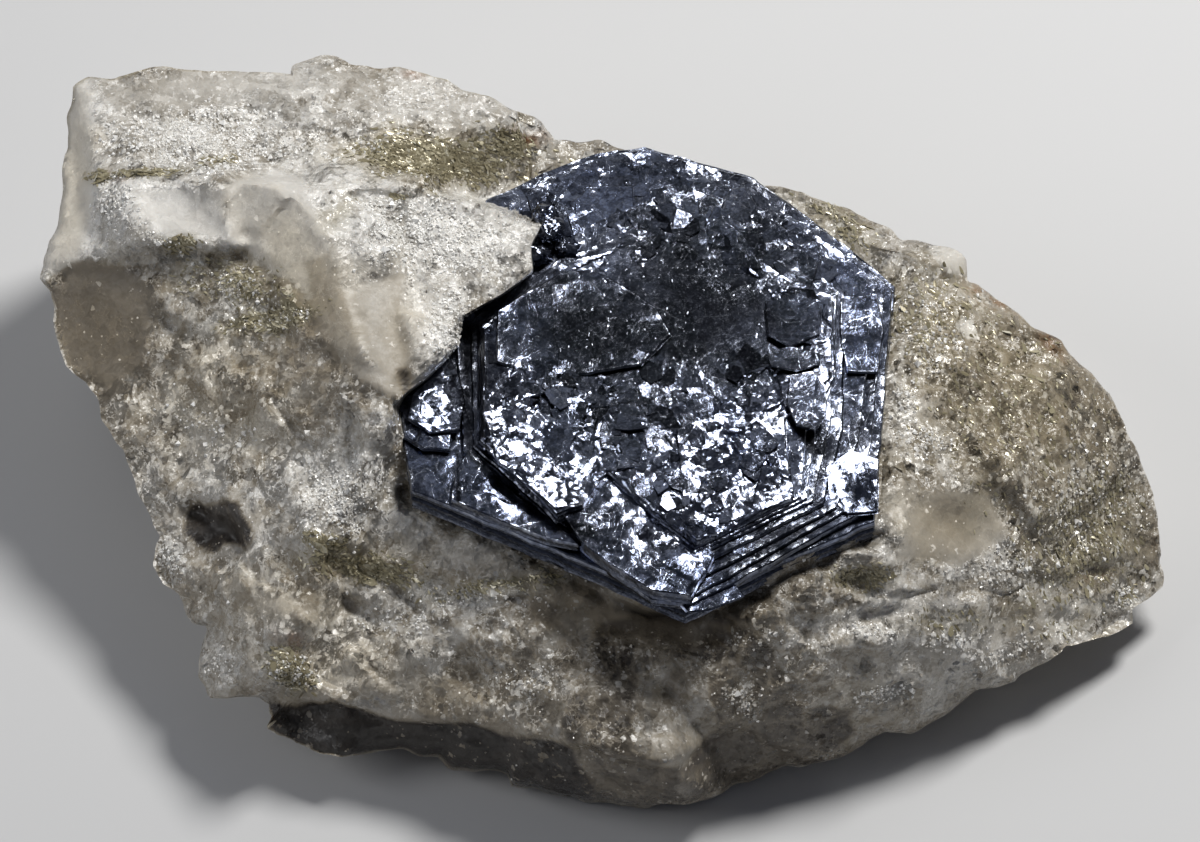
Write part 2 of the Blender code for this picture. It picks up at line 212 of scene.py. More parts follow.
# Flat glassy faces of the lump, by their corners in the view.
FLAT_FACES = (
    BLOCK_SIDE,
    BLOCK_FACET,
    ((60, 76), (78, 78), (86, 120), (88, 200), (80, 250), (50, 276), (36, 262), (56, 180)),
    ((48, 292), (76, 262), (116, 264), (150, 290), (140, 360), (104, 392), (66, 360)),
    ((915, 500), (990, 488), (1006, 536), (960, 566), (896, 556)),
    ((128, 190), (224, 190), (224, 236), (160, 230)),
)
SUGAR_PATCHES = (
    (200, 140, 125, 34, 0, 1.0), (115, 205, 30, 40, -30, 0.7), (150, 236, 34, 9, 20, 0.8), (340, 140, 70, 26, 0, 0.5),
    (430, 235, 105, 42, 14, 1.0), (446, 315, 22, 46, 10, 0.9), (285, 316, 50, 8, -12, 1.0),
    (240, 285, 50, 30, 20, 0.5), (120, 330, 40, 10, -5, 0.3), (335, 495, 44, 56, 20, 0.9),
    (205, 430, 60, 34, 20, 0.4), (420, 450, 24, 40, 0, 0.5), (165, 560, 26, 34, 0, 0.7), (215, 668, 26, 22, 0, 0.5),
    (292, 668, 26, 16, 20, 0.9), (925, 441, 38, 20, 8, 1.0), (905, 402, 18, 40, 0, 0.6), (880, 694, 40, 13, -6, 1.0),
    (870, 630, 34, 14, 20, 0.8), (1000, 560, 70, 40, 0, 0.45), (930, 330, 50, 60, 0, 0.5),
    (1080, 500, 70, 90, 0, 0.4), (1130, 600, 18, 16, 0, 1.0), (1010, 650, 60, 16, -20, 0.6),
    (470, 600, 80, 14, 0, 0.5), (530, 680, 46, 16, 0, 0.6), (740, 700, 30, 20, 0, 0.6), (400, 620, 50, 20, 0, 0.5),
    (760, 640, 60, 20, 0, 0.4), (960, 640, 50, 12, 0, 0.6), (400, 90, 60, 16, 0, 0.4),
)
STAIN_PATCHES = (
    (520, 136, 27, 13, 0, 0.9), (413, 68, 15, 7, 0, 0.9), (1000, 296, 34, 12, 38, 0.7), (292, 640, 26, 12, 30, 0.6),
    (108, 176, 22, 9, 0, 0.6), (1060, 345, 30, 12, 38, 0.6), (370, 570, 50, 12, 0, 0.3), (1098, 575, 20, 10, 0, 0.4),
)
WARM_PATCHES = (
    (66, 180, 26, 130, 3, 0.8), (300, 270, 46, 120, -35, 1.0), (90, 330, 76, 80, 0, 1.0), (215, 400, 120, 90, 0, 0.8),
    (400, 330, 30, 70, 0, 0.6), (435, 160, 130, 34, 6, 0.8), (345, 660, 80, 40, 0, 0.8), (280, 600, 100, 40, 10, 0.7),
    (650, 612, 110, 34, 0, 0.6), (945, 520, 70, 44, 0, 0.9), (1010, 400, 150, 130, 40, 0.6),
    (360, 560, 80, 30, 0, 0.6), (730, 620, 40, 30, 0, 0.8), (860, 690, 60, 30, 0, 0.5), (470, 690, 60, 30, 0, 0.6),
)
# Hollows and bumps of the lump: the same, with millimetres out of the face in place of the strength.
RELIEF_PATCHES = (
    (172, 212, 66, 28, 0, -0.1), (198, 514, 24, 16, -10, -0.5), (222, 528, 30, 15, 24, -0.5),
    (206, 542, 20, 9, -20, -0.3), (240, 546, 14, 8, 20, -0.3), (318, 56, 34, 14, 0, 0.25),
    (950, 262, 30, 18, 20, 0.35), (405, 383, 12, 16, 0, -0.25), (290, 668, 26, 18, 30, 0.35),
    (650, 622, 110, 24, 5, -0.5), (945, 522, 60, 30, 20, -0.25), (250, 400, 60, 40, 30, 0.3),
    (450, 640, 90, 36, -6, 0.25), (690, 700, 90, 36, 0, 0.3), (1010, 470, 60, 40, 30, 0.1),
    (880, 640, 80, 30, -10, 0.3), (117, 92, 16, 7, 24, -0.16), (178, 96, 18, 6, 6, -0.16), (245, 235, 16, 9, 0, -0.2),
    (900, 400, 26, 60, 10, -0.25), (340, 610, 90, 20, 14, -0.25), (1100, 570, 26, 12, 0, -0.3),
    (355, 656, 26, 18, 0, 0.3), (860, 580, 50, 16, 0, -0.3),
)
# Steps of the lump: corners of what stands out, width of the border, millimetres.
LEDGES = (
    (((224, 240), (226, 200), (232, 180), (250, 173), (270, 168), (400, 181), (480, 197), (545, 221), (530, 246),
        (532, 270), (502, 294), (464, 315), (455, 345), (425, 378), (402, 396), (390, 398), (355, 374), (314, 328),
        (304, 297), (260, 256)), 12, 0.18),
    (((120, 172), (226, 168), (232, 246), (185, 250), (120, 252)), 30, 0.55),
    (BLOCK_FACET, 16, -0.16),
    (((0, 20), (560, 20), (600, 150), (483, 199), (300, 180), (240, 252), (185, 246), (120, 255), (50, 268),
        (0, 300)), 6, 0.22),
    (((60, 60), (560, 60), (540, 130), (330, 126), (150, 110), (95, 112)), 6, 0.12),
    (((140, 176), (250, 168), (300, 176), (290, 120), (100, 120)), 6, 0.12),
    (((420, 560), (480, 540), (560, 590), (470, 600)), 8, 0.15),
    (((870, 590), (1010, 585), (1150, 560), (1160, 420), (1000, 300), (900, 300)), 8, 0.12),
    (((560, 640), (700, 655), (720, 760), (560, 770)), 6, 0.14),
    (((255, 705), (330, 700), (395, 722), (470, 725), (560, 742), (660, 762), (660, 850), (240, 850)), 6, -0.55),
    (((180, 560), (280, 590), (340, 640), (400, 700), (200, 705), (160, 640)), 6, 0.18),
)
# Cracks: their course in the view, half width in picture units, and depth in millimetres.
CRACKS = (
    (((90, 168), (148, 172), (200, 168), (250, 160), (300, 152)), 7.0, 0.16),
    (((404, 494), (480, 534), (570, 572), (650, 616), (720, 608), (800, 570), (880, 534)), 9.0, 0.45),
    (((860, 590), (900, 598), (960, 582), (1010, 598)), 5.0, 0.22),
    (((268, 395), (330, 470), (350, 560), (420, 610)), 4.0, 0.16),
)
# Where the quartz gives way to the crystal, the height of its seat, and how it rises from there where it is free.
SEAT = (
    (405, 397), (425, 380), (447, 358), (459, 345), (464, 318), (502, 297), (534, 273), (531, 248), (545, 222),
    (483, 201), (528, 182), (587, 154), (645, 144), (755, 175), (828, 215), (851, 247), (896, 286), (884, 378),
    (877, 490), (872, 521), (776, 561), (685, 605), (573, 555), (413, 489), (400, 407),
)
SEAT_HEIGHT = 7.95
COVERED_FROM, COVERED_TO = math.radians(105.3), math.radians(175.0)
FREE_RISE = 0.5
# Where that rise starts, past the quartz block: how much steeper it is, and over how many radians that fades.
STEEP_RISE, STEEP_TURN = 7.0, 0.45
# The corner of the crystal that shows beyond the quartz block, with the quartz behind it, and that corner's far edge.
BEYOND_BLOCK = ((549, 226), (486, 202), (430, 190), (430, 100), (640, 100), (640, 160), (600, 200))
CORNER = ((549, 226), (486, 203), (480, 197), (540, 167), (596, 148), (645, 144), (640, 180))
BEYOND_RISE = 0.9


class SpecimenSettings(PropertyGroup):
    """Sizes, counts and colours that a user may change."""

    spokes: IntProperty(name="Spokes", description="Points round the lump", default=760, min=64, max=900)
    mica_scales: IntProperty(name="Mica scales", description="Number of mica scales", default=11000, min=0)
    quartz_grains: IntProperty(name="Quartz grains", description="Number of sugary grains", default=9000, min=0)
    scale_radius: FloatProperty(
        name="Scale radius", description="Middle radius of a mica scale", default=0.000052, unit="LENGTH"
    )
    grain_radius: FloatProperty(
        name="Grain radius", description="Middle radius of a quartz grain", default=0.000045, unit="LENGTH"
    )
    smoky_colour: FloatVectorProperty(
        name="Smoky quartz",
        description="Colour of the darkest quartz",
        default=(0.045, 0.036, 0.028),
        subtype="COLOR",
    )
    quartz_colour: FloatVectorProperty(
        name="Quartz", description="Colour of the plain quartz", default=(0.26, 0.225, 0.172), subtype="COLOR"
    )
    milky_colour: FloatVectorProperty(
        name="Milky quartz", description="Colour of the white quartz", default=(0.72, 0.70, 0.66), subtype="COLOR"
    )
    mica_colour: FloatVectorProperty(
        name="Mica", description="Colour of the muscovite", default=(0.30, 0.26, 0.165), subtype="COLOR"
    )
    stain_colour: FloatVectorProperty(
        name="Rust stain", description="Colour of the iron stain", default=(0.20, 0.085, 0.025), subtype="COLOR"
    )
    metal_colour: FloatVectorProperty(
        name="Molybdenite", description="Colour of the crystal", default=(0.30, 0.34, 0.46), subtype="COLOR"
    )
    floor_colour: FloatVectorProperty(
        name="Floor", description="Colour of the floor", default=(0.62, 0.62, 0.62), subtype="COLOR"
    )


# Places in the view


def in_view(across, down):
    """The view's flat coordinates in millimetres: distance from the view's centre times the unit."""
    return (across - VIEW_CENTRE[0]) * UNIT, (VIEW_CENTRE[1] - down) * UNIT


def depth_at(down, height):
    """Depth towards the viewer of a point of this height: (height - centre height - up x cos E) / sin E."""
    up = (VIEW_CENTRE[1] - down) * UNIT
    return (height - CENTRE_HEIGHT - up * COS_E) / SIN_E


def placed(across, up, depth):
    """The point at flat view coordinates and a depth: the middle plus each amount along its own direction."""
    flat = MIDDLE + np.multiply.outer(across, ACROSS) + np.multiply.outer(up, UPWARD)
    return flat + np.multiply.outer(depth, TOWARD)


def seen_at(points):
    """Where points appear in the view, in picture units: their parts along the view's two directions."""
    up = (points - MIDDLE) @ UPWARD
    return VIEW_CENTRE[0] + points[..., 0] / UNIT, VIEW_CENTRE[1] - up / UNIT


def facing(azimuth, elevation):
    """Unit vector with this azimuth and elevation in degrees."""
    az, el = math.radians(azimuth), math.radians(elevation)
    return np.array((math.cos(el) * math.cos(az), math.cos(el) * math.sin(az), math.sin(el)))


def glint_normal():
    """The normal of a face that throws the key light at the viewer: halfway between the two directions."""
    both = facing(KEY_AZIMUTH, KEY_ELEVATION) + TOWARD
    return both / np.linalg.norm(both)


# Noise and masks


def drawn(cell, salt):
    """A repeatable number from 0 to 1 for each whole-numbered cell: its coordinates mixed by multiply and shift."""
    mixed = cell[..., 0] * 73856093 + cell[..., 1] * 19349663 + cell[..., 2] * 83492791 + salt * 40503
    mixed = (mixed ^ (mixed >> 13)) * 1274126177 & 0xFFFFFFFF
    mixed = (mixed ^ (mixed >> 16)) * 668265263 & 0xFFFFFFFF
    return ((mixed ^ (mixed >> 15)) & 0xFFFFF) / 0xFFFFF


def near_seeds(points, size, salt):
    """For each of the 27 cells round each point: the way from the cell's seed, a random slant and an offset."""
    scaled = points / size
    home = np.floor(scaled).astype(np.int64)
    for dx in (-1, 0, 1):
        for dy in (-1, 0, 1):
            for dz in (-1, 0, 1):
                cell = home + (dx, dy, dz)
                seed = cell + np.stack([drawn(cell, salt + k) for k in range(3)], axis=-1)
                slant = 2 * np.stack([drawn(cell, salt + 3 + k) for k in range(3)], axis=-1) - 1
                yield scaled - seed, slant, drawn(cell, salt + 6) - 0.5


def facet_noise(points, size, salt, lean=(0.0, 0.0, 0.0), crispness=FACET_CRISPNESS):
    """Flat facets, about -1 to 1: each seed's slanted plane, weighted by exp(-crispness x distance squared)."""
    total, weights = np.zeros(points.shape[:-1]), np.zeros(points.shape[:-1])
    for away, slant, offset in near_seeds(points, size, salt):
        weight = np.exp(-crispness * (away**2).sum(axis=-1))
        total += weight * ((away * (slant + lean)).sum(axis=-1) + offset)
        weights += weight
    return total / weights


def scoop_noise(points, size, salt):
    """Scoops and how near their sharp rims are: the least and second least of distance squared plus a slant."""
    least, second = np.full(points.shape[:-1], 9.0), np.full(points.shape[:-1], 9.0)
    for away, slant, offset in near_seeds(points, size, salt):
        height = 0.9 * (away**2).sum(axis=-1) + 0.75 * (away * slant).sum(axis=-1) + 0.6 * offset
        second = np.minimum(second, np.maximum(least, height))
        least = np.minimum(least, height)
    return least, np.clip(1 - (second - least) * 9, 0, 1)


def soft_noise(points, size, salt):
    """Smooth noise, about -1 to 1: numbers drawn at whole points, blended by 3t^2 - 2t^3 along each axis."""
    scaled = points / size
    home = np.floor(scaled).astype(np.int64)
    t = scaled - home
    t = t * t * (3 - 2 * t)
    value = np.zeros(points.shape[:-1])
    for dx in (0, 1):
        for dy in (0, 1):
            for dz in (0, 1):
                corner = np.array((dx, dy, dz))
                weight = np.prod(np.where(corner, t, 1 - t), axis=-1)
                value += weight * drawn(home + corner, salt)
    return 2 * value - 1


def from_ellipse(across, down, patch, ragged):
    """Distance from a patch's middle, 1 at its rim: length of the turned offset over the half sizes."""
    x, y, half_width, half_height, turn = patch[:5]
    c, s = math.cos(math.radians(turn)), math.sin(math.radians(turn))
    dx, dy = across - x, down - y
    return np.hypot((dx * c + dy * s) / half_width, (dy * c - dx * s) / half_height) * (1 + ragged)


def patch_mask(across, down, patches, ragged):
    """Strongest patch at each place: strength x (1.35 - 1.1 x distance), held between 0 and 1."""
    best = np.zeros(across.shape)
    for patch in patches:
        r = from_ellipse(across, down, patch, 0.35 * ragged)
        best = np.maximum(best, patch[5] * np.clip(1.35 - 1.1 * r, 0.0, 1.0))
    return best


def patch_relief(across, down, patches, ragged):
    """Sum of smooth mounds and hollows: amount x (1 - distance^2)^1.5 inside each ragged ellipse."""
    total = np.zeros(across.shape)
    for patch in patches:
        r = from_ellipse(across, down, patch, 0.2 * ragged)
        total += patch[5] * np.clip(1 - r * r, 0.0, 1.0) ** 1.5
    return total


def from_course(across, down, course):
    """Distance to a bent line: least distance to its straight parts."""
    nearest = np.full(across.shape, 1e9)
    for (x0, y0), (x1, y1) in zip(course, course[1:]):
        run = np.array((x1 - x0, y1 - y0), float)
        t = np.clip(((across - x0) * run[0] + (down - y0) * run[1]) / (run @ run), 0, 1)
        nearest = np.minimum(nearest, np.hypot(across - x0 - t * run[0], down - y0 - t * run[1]))
    return nearest


def inside_corners(across, down, corners, border, ragged=0.0):
    """1 inside the corners and 0 outside, by the signed distance to their sides over the border's width."""
    within = np.zeros(across.shape, bool)
    for (x0, y0), (x1, y1) in zip(corners, corners[1:] + corners[:1]):
        crosses = (y0 > down) != (y1 > down)
        slope = (x1 - x0) / (y1 - y0) if y1 != y0 else 0.0
        within ^= crosses & (across < x0 + (down - y0) * slope)
    distance = from_course(across, down, corners + corners[:1])
    t = np.clip((np.where(within, distance, -distance) + ragged) / border + 0.5, 0, 1)
    return t * t * (3 - 2 * t)


def crack_depth(across, down, ragged):
    """Depth of the cracks: each one's depth x exp(-(distance to its course / half width)^2)."""
    total = np.zeros(across.shape)
    for course, half_width, depth in CRACKS:
        nearest = from_course(across, down, course) + 6 * ragged
        total += depth * np.exp(-((nearest / half_width) ** 2))
    return total


# Meshes

# Edges sharper than this many degrees stay sharp: on the lump, on plates, on nodules and on the small pieces.
LUMP_SHARP = 32.0
PLATE_SHARP = 24.0
NODULE_SHARP = 60.0
SMALL_SHARP = 5.0


def unit(vectors):
    """Vectors brought to length 1."""
    return vectors / np.linalg.norm(vectors, axis=-1, keepdims=True)


def grid_normals(grid):
    """Outward unit normals of a closed grid: the cross product of its steps along rows and round columns."""
    around = np.roll(grid, -1, axis=1) - np.roll(grid, 1, axis=1)
    along = np.gradient(grid, axis=0)
    normal = np.cross(along, around)
    length = np.linalg.norm(normal, axis=-1, keepdims=True)
    return normal / np.maximum(length, 1e-9), length[..., 0]


def closed_mesh(name, grid, masks, sharp_degrees):
    """A closed body from a grid in millimetres, whose first and last rows each meet in one point."""
    rows, columns = grid.shape[:2]
    inner = (rows - 2) * columns

    def flat(values):
        return np.concatenate([values[0, :1], values[1:-1].reshape(inner, *values.shape[2:]), values[-1, :1]])

    column = np.arange(columns)
    beside = (column + 1) % columns
    row = 1 + np.arange(rows - 3)[:, None] * columns
    quads = np.stack([row + column, row + columns + column, row + columns + beside, row + beside], axis=-1)
    last = 1 + inner
    start = last - columns
    first_fan = np.stack([0 * column, 1 + column, 1 + beside], axis=-1)
    last_fan = np.stack([start + beside, start + column, last + 0 * column], axis=-1)
    return new_piece(
        name,
        flat(grid) + SHIFT,
        quads.reshape(-1, 4).tolist() + first_fan.tolist() + last_fan.tolist(),
        {key: flat(values) for key, values in masks.items()},
        sharp_degrees,
    )


def new_piece(name, points, faces, masks, sharp_degrees):
    """An object from points in millimetres and faces, with its masks as point attributes."""
    mesh = bpy.data.meshes.new(name)
    mesh.from_pydata((np.asarray(points) * MM).tolist(), [], faces)
    for key, values in masks.items():
        layer = mesh.attributes.new(key, "FLOAT", "POINT")
        layer.data.foreach_set("value", np.ascontiguousarray(values, np.float32))
    mesh.polygons.foreach_set("use_smooth", np.ones(len(mesh.polygons), bool))
    mesh.set_sharp_from_angle(angle=math.radians(sharp_degrees))
    mesh.update()
    obj = bpy.data.objects.new(name, mesh)
    bpy.context.scene.collection.objects.link(obj)
    return obj


def dress(obj, material):
    obj.data.materials.append(material)
    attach(obj, "root")


# Materials


class Value:
    """An output of a node, its first unless a key names another. Sums and products of it add their maths nodes."""

    def __init__(self, nodes, node, key=0):
        self.nodes, self.node, self.key = nodes, node, key

    def __getitem__(self, key):
        return Value(self.nodes, self.node, key)

    def __add__(self, other):
        return self.nodes.maths("ADD", self, other)

    def __sub__(self, other):
        return self.nodes.maths("SUBTRACT", self, other)

    def __rsub__(self, other):
        return self.nodes.maths("SUBTRACT", other, self)

    def __mul__(self, other):
        return self.nodes.maths("MULTIPLY", self, other)

    __radd__, __rmul__ = __add__, __mul__

    def held(self):
        """The same sum or product, held between 0 and 1."""
        self.node.use_clamp = True
        return self


class Nodes:
    """Makes and joins the nodes of one tree."""

    def __init__(self, tree):
        self.tree = tree

    def feed(self, inputs, values):
        """Joins or sets inputs by their number or name."""
        for key, value in dict(values).items():
            if isinstance(value, Value):
                self.tree.links.new(value.node.outputs[value.key], inputs[key])
            else:
                inputs[key].default_value = value

    def add(self, kind, inputs=(), **settings):
        """A node with these settings and inputs, as a value."""
        node = self.tree.nodes.new(kind)
        for key, value in settings.items():
            setattr(node, key, value)
        self.feed(node.inputs, inputs)
        return Value(self, node)

    def maths(self, operation, *values):
        return self.add("ShaderNodeMath", enumerate(values), operation=operation)

    def vector(self, operation, *values):
        return self.add("ShaderNodeVectorMath", enumerate(values), operation=operation)

    def scaled(self, value, factor):
        return self.add("ShaderNodeVectorMath", {0: value, "Scale": factor}, operation="SCALE")

    def noise(self, vector, scale, detail, roughness=0.55):
        inputs = {"Vector": vector, "Scale": scale, "Detail": detail, "Roughness": roughness}
        return self.add("ShaderNodeTexNoise", inputs)["Fac"]

    def cells(self, vector, scale, feature="F1"):
        return self.add("ShaderNodeTexVoronoi", {"Vector": vector, "Scale": scale}, feature=feature)["Distance"]

    def warped(self, vector, scale, amount):
        """The vector moved by noise of this scale, by this amount over the scale."""
        warp = self.noise(vector, self.maths("MULTIPLY", scale, 0.8), 2.0)["Color"]
        return self.vector("ADD", vector, self.scaled(warp, self.maths("DIVIDE", amount, scale)))

    def split(self, colour):
        return self.add("ShaderNodeSeparateColor", {0: colour})

    def mix(self, factor, first, second, blend="MIX"):
        inputs = {0: factor, 6: first, 7: second}
        return self.add("ShaderNodeMix", inputs, data_type="RGBA", blend_type=blend)[2]

    def ramp(self, value, low, high, to_low=0.0, to_high=1.0):
        return self.add("ShaderNodeMapRange", enumerate((value, low, high, to_low, to_high)))

    def shades(self, value, *stops):
        """A colour ramp through pairs of position and colour."""
        ramp = self.add("ShaderNodeValToRGB", {0: value})
        elements = ramp.node.color_ramp.elements
        elements[0].position, elements[1].position = stops[0][0], stops[-1][0]
        for position, _ in stops[1:-1]:
            elements.new(position)
        for element, (_, colour) in zip(elements, stops):
            element.color = (*colour, 1.0)
        return ramp

    def mask(self, name):
        return self.add("ShaderNodeAttribute", attribute_name=name)["Fac"]

    def masks(self, *names):
        return [self.mask(name) for name in names]

    def group(self, name, **values):
        return self.add("ShaderNodeGroup", values, node_tree=shader_group(name))


def tilted_cells(nodes, given):
    """Tiny flat faces: a share of the cells of two sizes turn the normal their own way, by Tilt. Cell follows the
    smaller cells' tilt across, for painted shade on facets.
    """
    place = nodes.warped(given["Vector"], given["Scale"], 0.5)
    total = None
    for factor in (1.0, 2.7):
        cell = nodes.cells(place, given["Scale"] * factor)["Color"]
        parts = nodes.split(cell)
        chosen = nodes.maths("LESS_THAN", parts[2], given["Share"])
        turned = nodes.scaled(nodes.vector("SUBTRACT", cell, (0.5, 0.5, 0.5)), chosen)
        total = turned if total is None else nodes.vector("ADD", total, turned)
    return {"Offset": nodes.scaled(total, given["Tilt"]), "Cell": parts[0]}


def specks(nodes, given):
    """Small irregular specks: a Share of warped cells, each with its own strength, and round where Round is 1."""
    place = nodes.warped(given["Vector"], given["Scale"] * 2.0, 1.3)
    cell = nodes.cells(place, given["Scale"])
    parts = nodes.split(cell["Color"])
    chosen = nodes.maths("LESS_THAN", parts[0], given["Share"])
    near = nodes.ramp(cell, 0.52, 0.34, 1.0 - given["Round"], 1.0)
    return {"Speck": chosen * (near * nodes.ramp(parts[1], 0.0, 1.0, 0.4, 1.0))}


def borders(nodes, given):
    """Thin curved lines where warped cells meet, broken off here and there by noise."""
    place = nodes.warped(given["Vector"], given["Scale"], 0.6)
    edge = nodes.cells(place, given["Scale"], "DISTANCE_TO_EDGE")
    kept = nodes.ramp(nodes.noise(given["Vector"], given["Scale"], 1.0), 0.48, 0.58)
    return {"Line": nodes.ramp(edge, given["Width"], 0.0) * kept}


def wisps(nodes, given):
    """Thin ragged threads along one level of noise, broken off here and there by coarser noise."""
    away = nodes.maths("ABSOLUTE", nodes.noise(given["Vector"], given["Scale"], 3.0, 0.6) - 0.5)
    coarse = nodes.noise(given["Vector"], given["Scale"] * 0.7, 2.0)["Color"]
    kept = nodes.ramp(nodes.split(coarse)[1], 0.47, 0.57)
    return {"Line": nodes.ramp(away, given["Width"], 0.0) * kept}


# Node groups: what builds each, and the numbers that it takes beside its vector.
GROUPS = {
    "Tilted cells": (tilted_cells, {"Scale": 1000.0, "Tilt": 0.5, "Share": 1.0}),
    "Specks": (specks, {"Scale": 6000.0, "Share": 0.3, "Round": 1.0}),
    "Borders": (borders, {"Scale": 900.0, "Width": 0.04}),
    "Wisps": (wisps, {"Scale": 1500.0, "Width": 0.02}),
}


def shader_group(name):
    """The node group of this name, built when it is first asked for. Only an Offset comes out as a vector."""
    if name in bpy.data.node_groups:
        return bpy.data.node_groups[name]
    build, numbers = GROUPS[name]
    tree = bpy.data.node_groups.new(name, "ShaderNodeTree")
    tree.interface.new_socket("Vector", in_out="INPUT", socket_type="NodeSocketVector")
    for label, default in numbers.items():
        socket = tree.interface.new_socket(label, in_out="INPUT", socket_type="NodeSocketFloat")
        socket.default_value = default
    nodes = Nodes(tree)
    results = build(nodes, nodes.add("NodeGroupInput"))
    for label in results:
        kind = "NodeSocketVector" if label == "Offset" else "NodeSocketFloat"
        tree.interface.new_socket(label, in_out="OUTPUT", socket_type=kind)
    nodes.add("NodeGroupOutput", results)
    return tree


def new_material(name):
    """A material, its nodes, its shader's inputs and the Object coordinates."""
    material = bpy.data.materials.new(name)
    material.use_nodes = True
    nodes = Nodes(material.node_tree)
    shader = material.node_tree.nodes["Principled BSDF"].inputs
    return material, nodes, shader, nodes.add("ShaderNodeTexCoord")["Object"]


def bumped(nodes, offsets, height, strength, distance):
    """A normal: the surface's own plus the offsets, then a bump from the height."""
    normal = nodes.add("ShaderNodeNewGeometry")["Normal"]
    for offset in offsets:
        normal = nodes.vector("ADD", normal, offset)
    normal = nodes.vector("NORMALIZE", normal)
    inputs = {"Distance": distance, "Strength": strength, "Height": height, "Normal": normal}
    return nodes.add("ShaderNodeBump", inputs)


QUARTZ_IOR = 1.54


def quartz_material(settings):
    """Quartz from smoky to milky by its shade, with fracture lines, white specks that are partly painted glints,
    painted shade in hollows and cracks, a painted highlight on scoop rims, mica and rust.
    """
    material, nodes, shader, place = new_material("quartz")
    shade, mica, glassy, sugar = nodes.masks("shade", "mica", "glassy", "sugar")
    stain, hollow_shade, rim = nodes.masks("stain", "hollow_shade", "rim")
    rough = (1.0 - glassy * 0.85).held()
    medium = nodes.noise(place, 1700.0, 6.0, 0.65)
    fine = nodes.noise(place, 6500.0, 4.0, 0.7)
    level = shade * nodes.ramp(nodes.noise(place, 420.0, 2.0), 0.35, 0.65, 0.88, 1.12)
    level = level * (1.0 + nodes.ramp(medium, 0.32, 0.68, -0.06, 0.06) * rough)
    jagged = nodes.warped(nodes.warped(place, 1100.0, 0.5), 5200.0, 0.9)
    tilt = 0.06 + rough * 0.5
    areas = nodes.split(nodes.cells(jagged, 620.0)["Color"])
    chips = nodes.group("Tilted cells", Vector=jagged, Scale=1250.0, Tilt=tilt, Share=1.0)
    small_chips = nodes.group("Tilted cells", Vector=jagged, Scale=4600.0, Tilt=tilt, Share=0.5)
    # Painted shade on the chips: each is lighter or darker as it tilts across, east towards the key light's side; the
    # larger areas differ in tone at random.
    for cell, amount in ((areas, 0.2), (chips["Cell"], 0.18), (small_chips["Cell"], 0.12)):
        level = level * (1.0 + nodes.ramp(cell, 0.0, 1.0, -amount, amount) * rough)

    lines = nodes.group("Wisps", Vector=place, Scale=800.0, Width=0.012)
    fine_lines = nodes.group("Wisps", Vector=place, Scale=2600.0, Width=0.028)
    paler = (0.08 + rough) * (0.15 + shade).held()
    # Painted highlight: the colour is lighter along the sharp rims of the scoops.
    level = level + (lines * 0.3 + fine_lines * 0.4) * (paler * 1.2) + rim * (rough * 0.22)
    clusters = nodes.ramp(nodes.noise(place, 1000.0, 3.0, 0.6), 0.44, 0.62, 0.2, 2.2)
    share = (0.05 + sugar * 0.45) * rough * clusters
    big = nodes.group("Specks", Vector=place, Scale=6200.0, Share=share, Round=0.3)
    small = nodes.group("Specks", Vector=place, Scale=12500.0, Share=share * 1.4)
    # Painted glints: the white specks lighten the colour; they stand partly for small white grains of quartz, partly
    # for glints, and also lean the normal so some flash.
    white = nodes.maths("MAXIMUM", big, small)
    colour = nodes.shades(
        level + white * 0.5,
        (0.0, (0.012, 0.010, 0.008)), (0.12, settings.smoky_colour[:]), (0.34, settings.quartz_colour[:]),
        (0.62, (0.50, 0.475, 0.43)), (1.0, settings.milky_colour[:]),
    )
    gold = nodes.ramp(fine + medium * 0.5, 0.62, 0.95)
    gold = nodes.mix(gold, (*settings.mica_colour, 1), (0.36, 0.32, 0.22, 1))
    # Painted glints on the mica too: its specks turn pale gold.
    gold = nodes.mix(white * 0.9, gold, (0.74, 0.70, 0.57, 1))
    golden = (mica * nodes.ramp(medium, 0.38, 0.56, 0.3, 1.0)).held()
    colour = nodes.mix(golden * 0.8, colour, gold)
    colour = nodes.mix(stain * nodes.ramp(medium, 0.4, 0.6), colour, (*settings.stain_colour, 1))
    # Painted shade: cracks and deep hollows are darkened.
    colour = nodes.mix(hollow_shade * 0.75, colour, (0.03, 0.024, 0.018, 1))

    glint = tuple(3.0 * glint_normal())
    flashes = nodes.maths("MAXIMUM", nodes.maths("POWER", white, 2.0), fine_lines * (rough * 0.5))
    offsets = (chips["Offset"], small_chips["Offset"], nodes.scaled(glint, flashes))
    height = nodes.cells(jagged, 1700.0) + nodes.cells(jagged, 4300.0) * 0.4 + fine * 0.35
    nodes.feed(shader, {
        "Base Color": nodes.mix(nodes.mask("warm"), colour, (1.0, 0.94, 0.82, 1), "MULTIPLY"),
        "Roughness": nodes.ramp(fine, 0.3, 0.7, 0.14, 0.4) + glassy * 0.3 - white * 0.12,
        "Metallic": golden * (white * 0.6),
        "Subsurface Weight": 0.1,
        "Subsurface Radius": (1.0, 0.8, 0.6),
        "Subsurface Scale": 0.0005,
        "IOR": QUARTZ_IOR,
        "Normal": bumped(nodes, offsets, height, nodes.ramp(rough, 0.0, 1.0, 0.12, 0.55), 0.00012),
    })
    return material


def mica_material():
    """Muscovite scales: silvery gold to olive, a different tone on each scale."""
    material, nodes, shader, place = new_material("muscovite")
    colour = nodes.shades(
        nodes.mask("tone"),
        (0.0, (0.27, 0.235, 0.145)), (0.5, (0.40, 0.36, 0.24)), (0.85, (0.56, 0.51, 0.36)), (1.0, (0.78, 0.75, 0.62)),
    )
    grain = nodes.noise(place, 9000.0, 2.0)
    nodes.feed(shader, {
        "Base Color": nodes.mix(nodes.ramp(grain, 0.3, 0.7, 0.0, 0.3), colour, (0.2, 0.17, 0.11, 1)),
        "Roughness": nodes.ramp(grain, 0.3, 0.7, 0.16, 0.34),
        "Metallic": 0.2,
    })
    return material


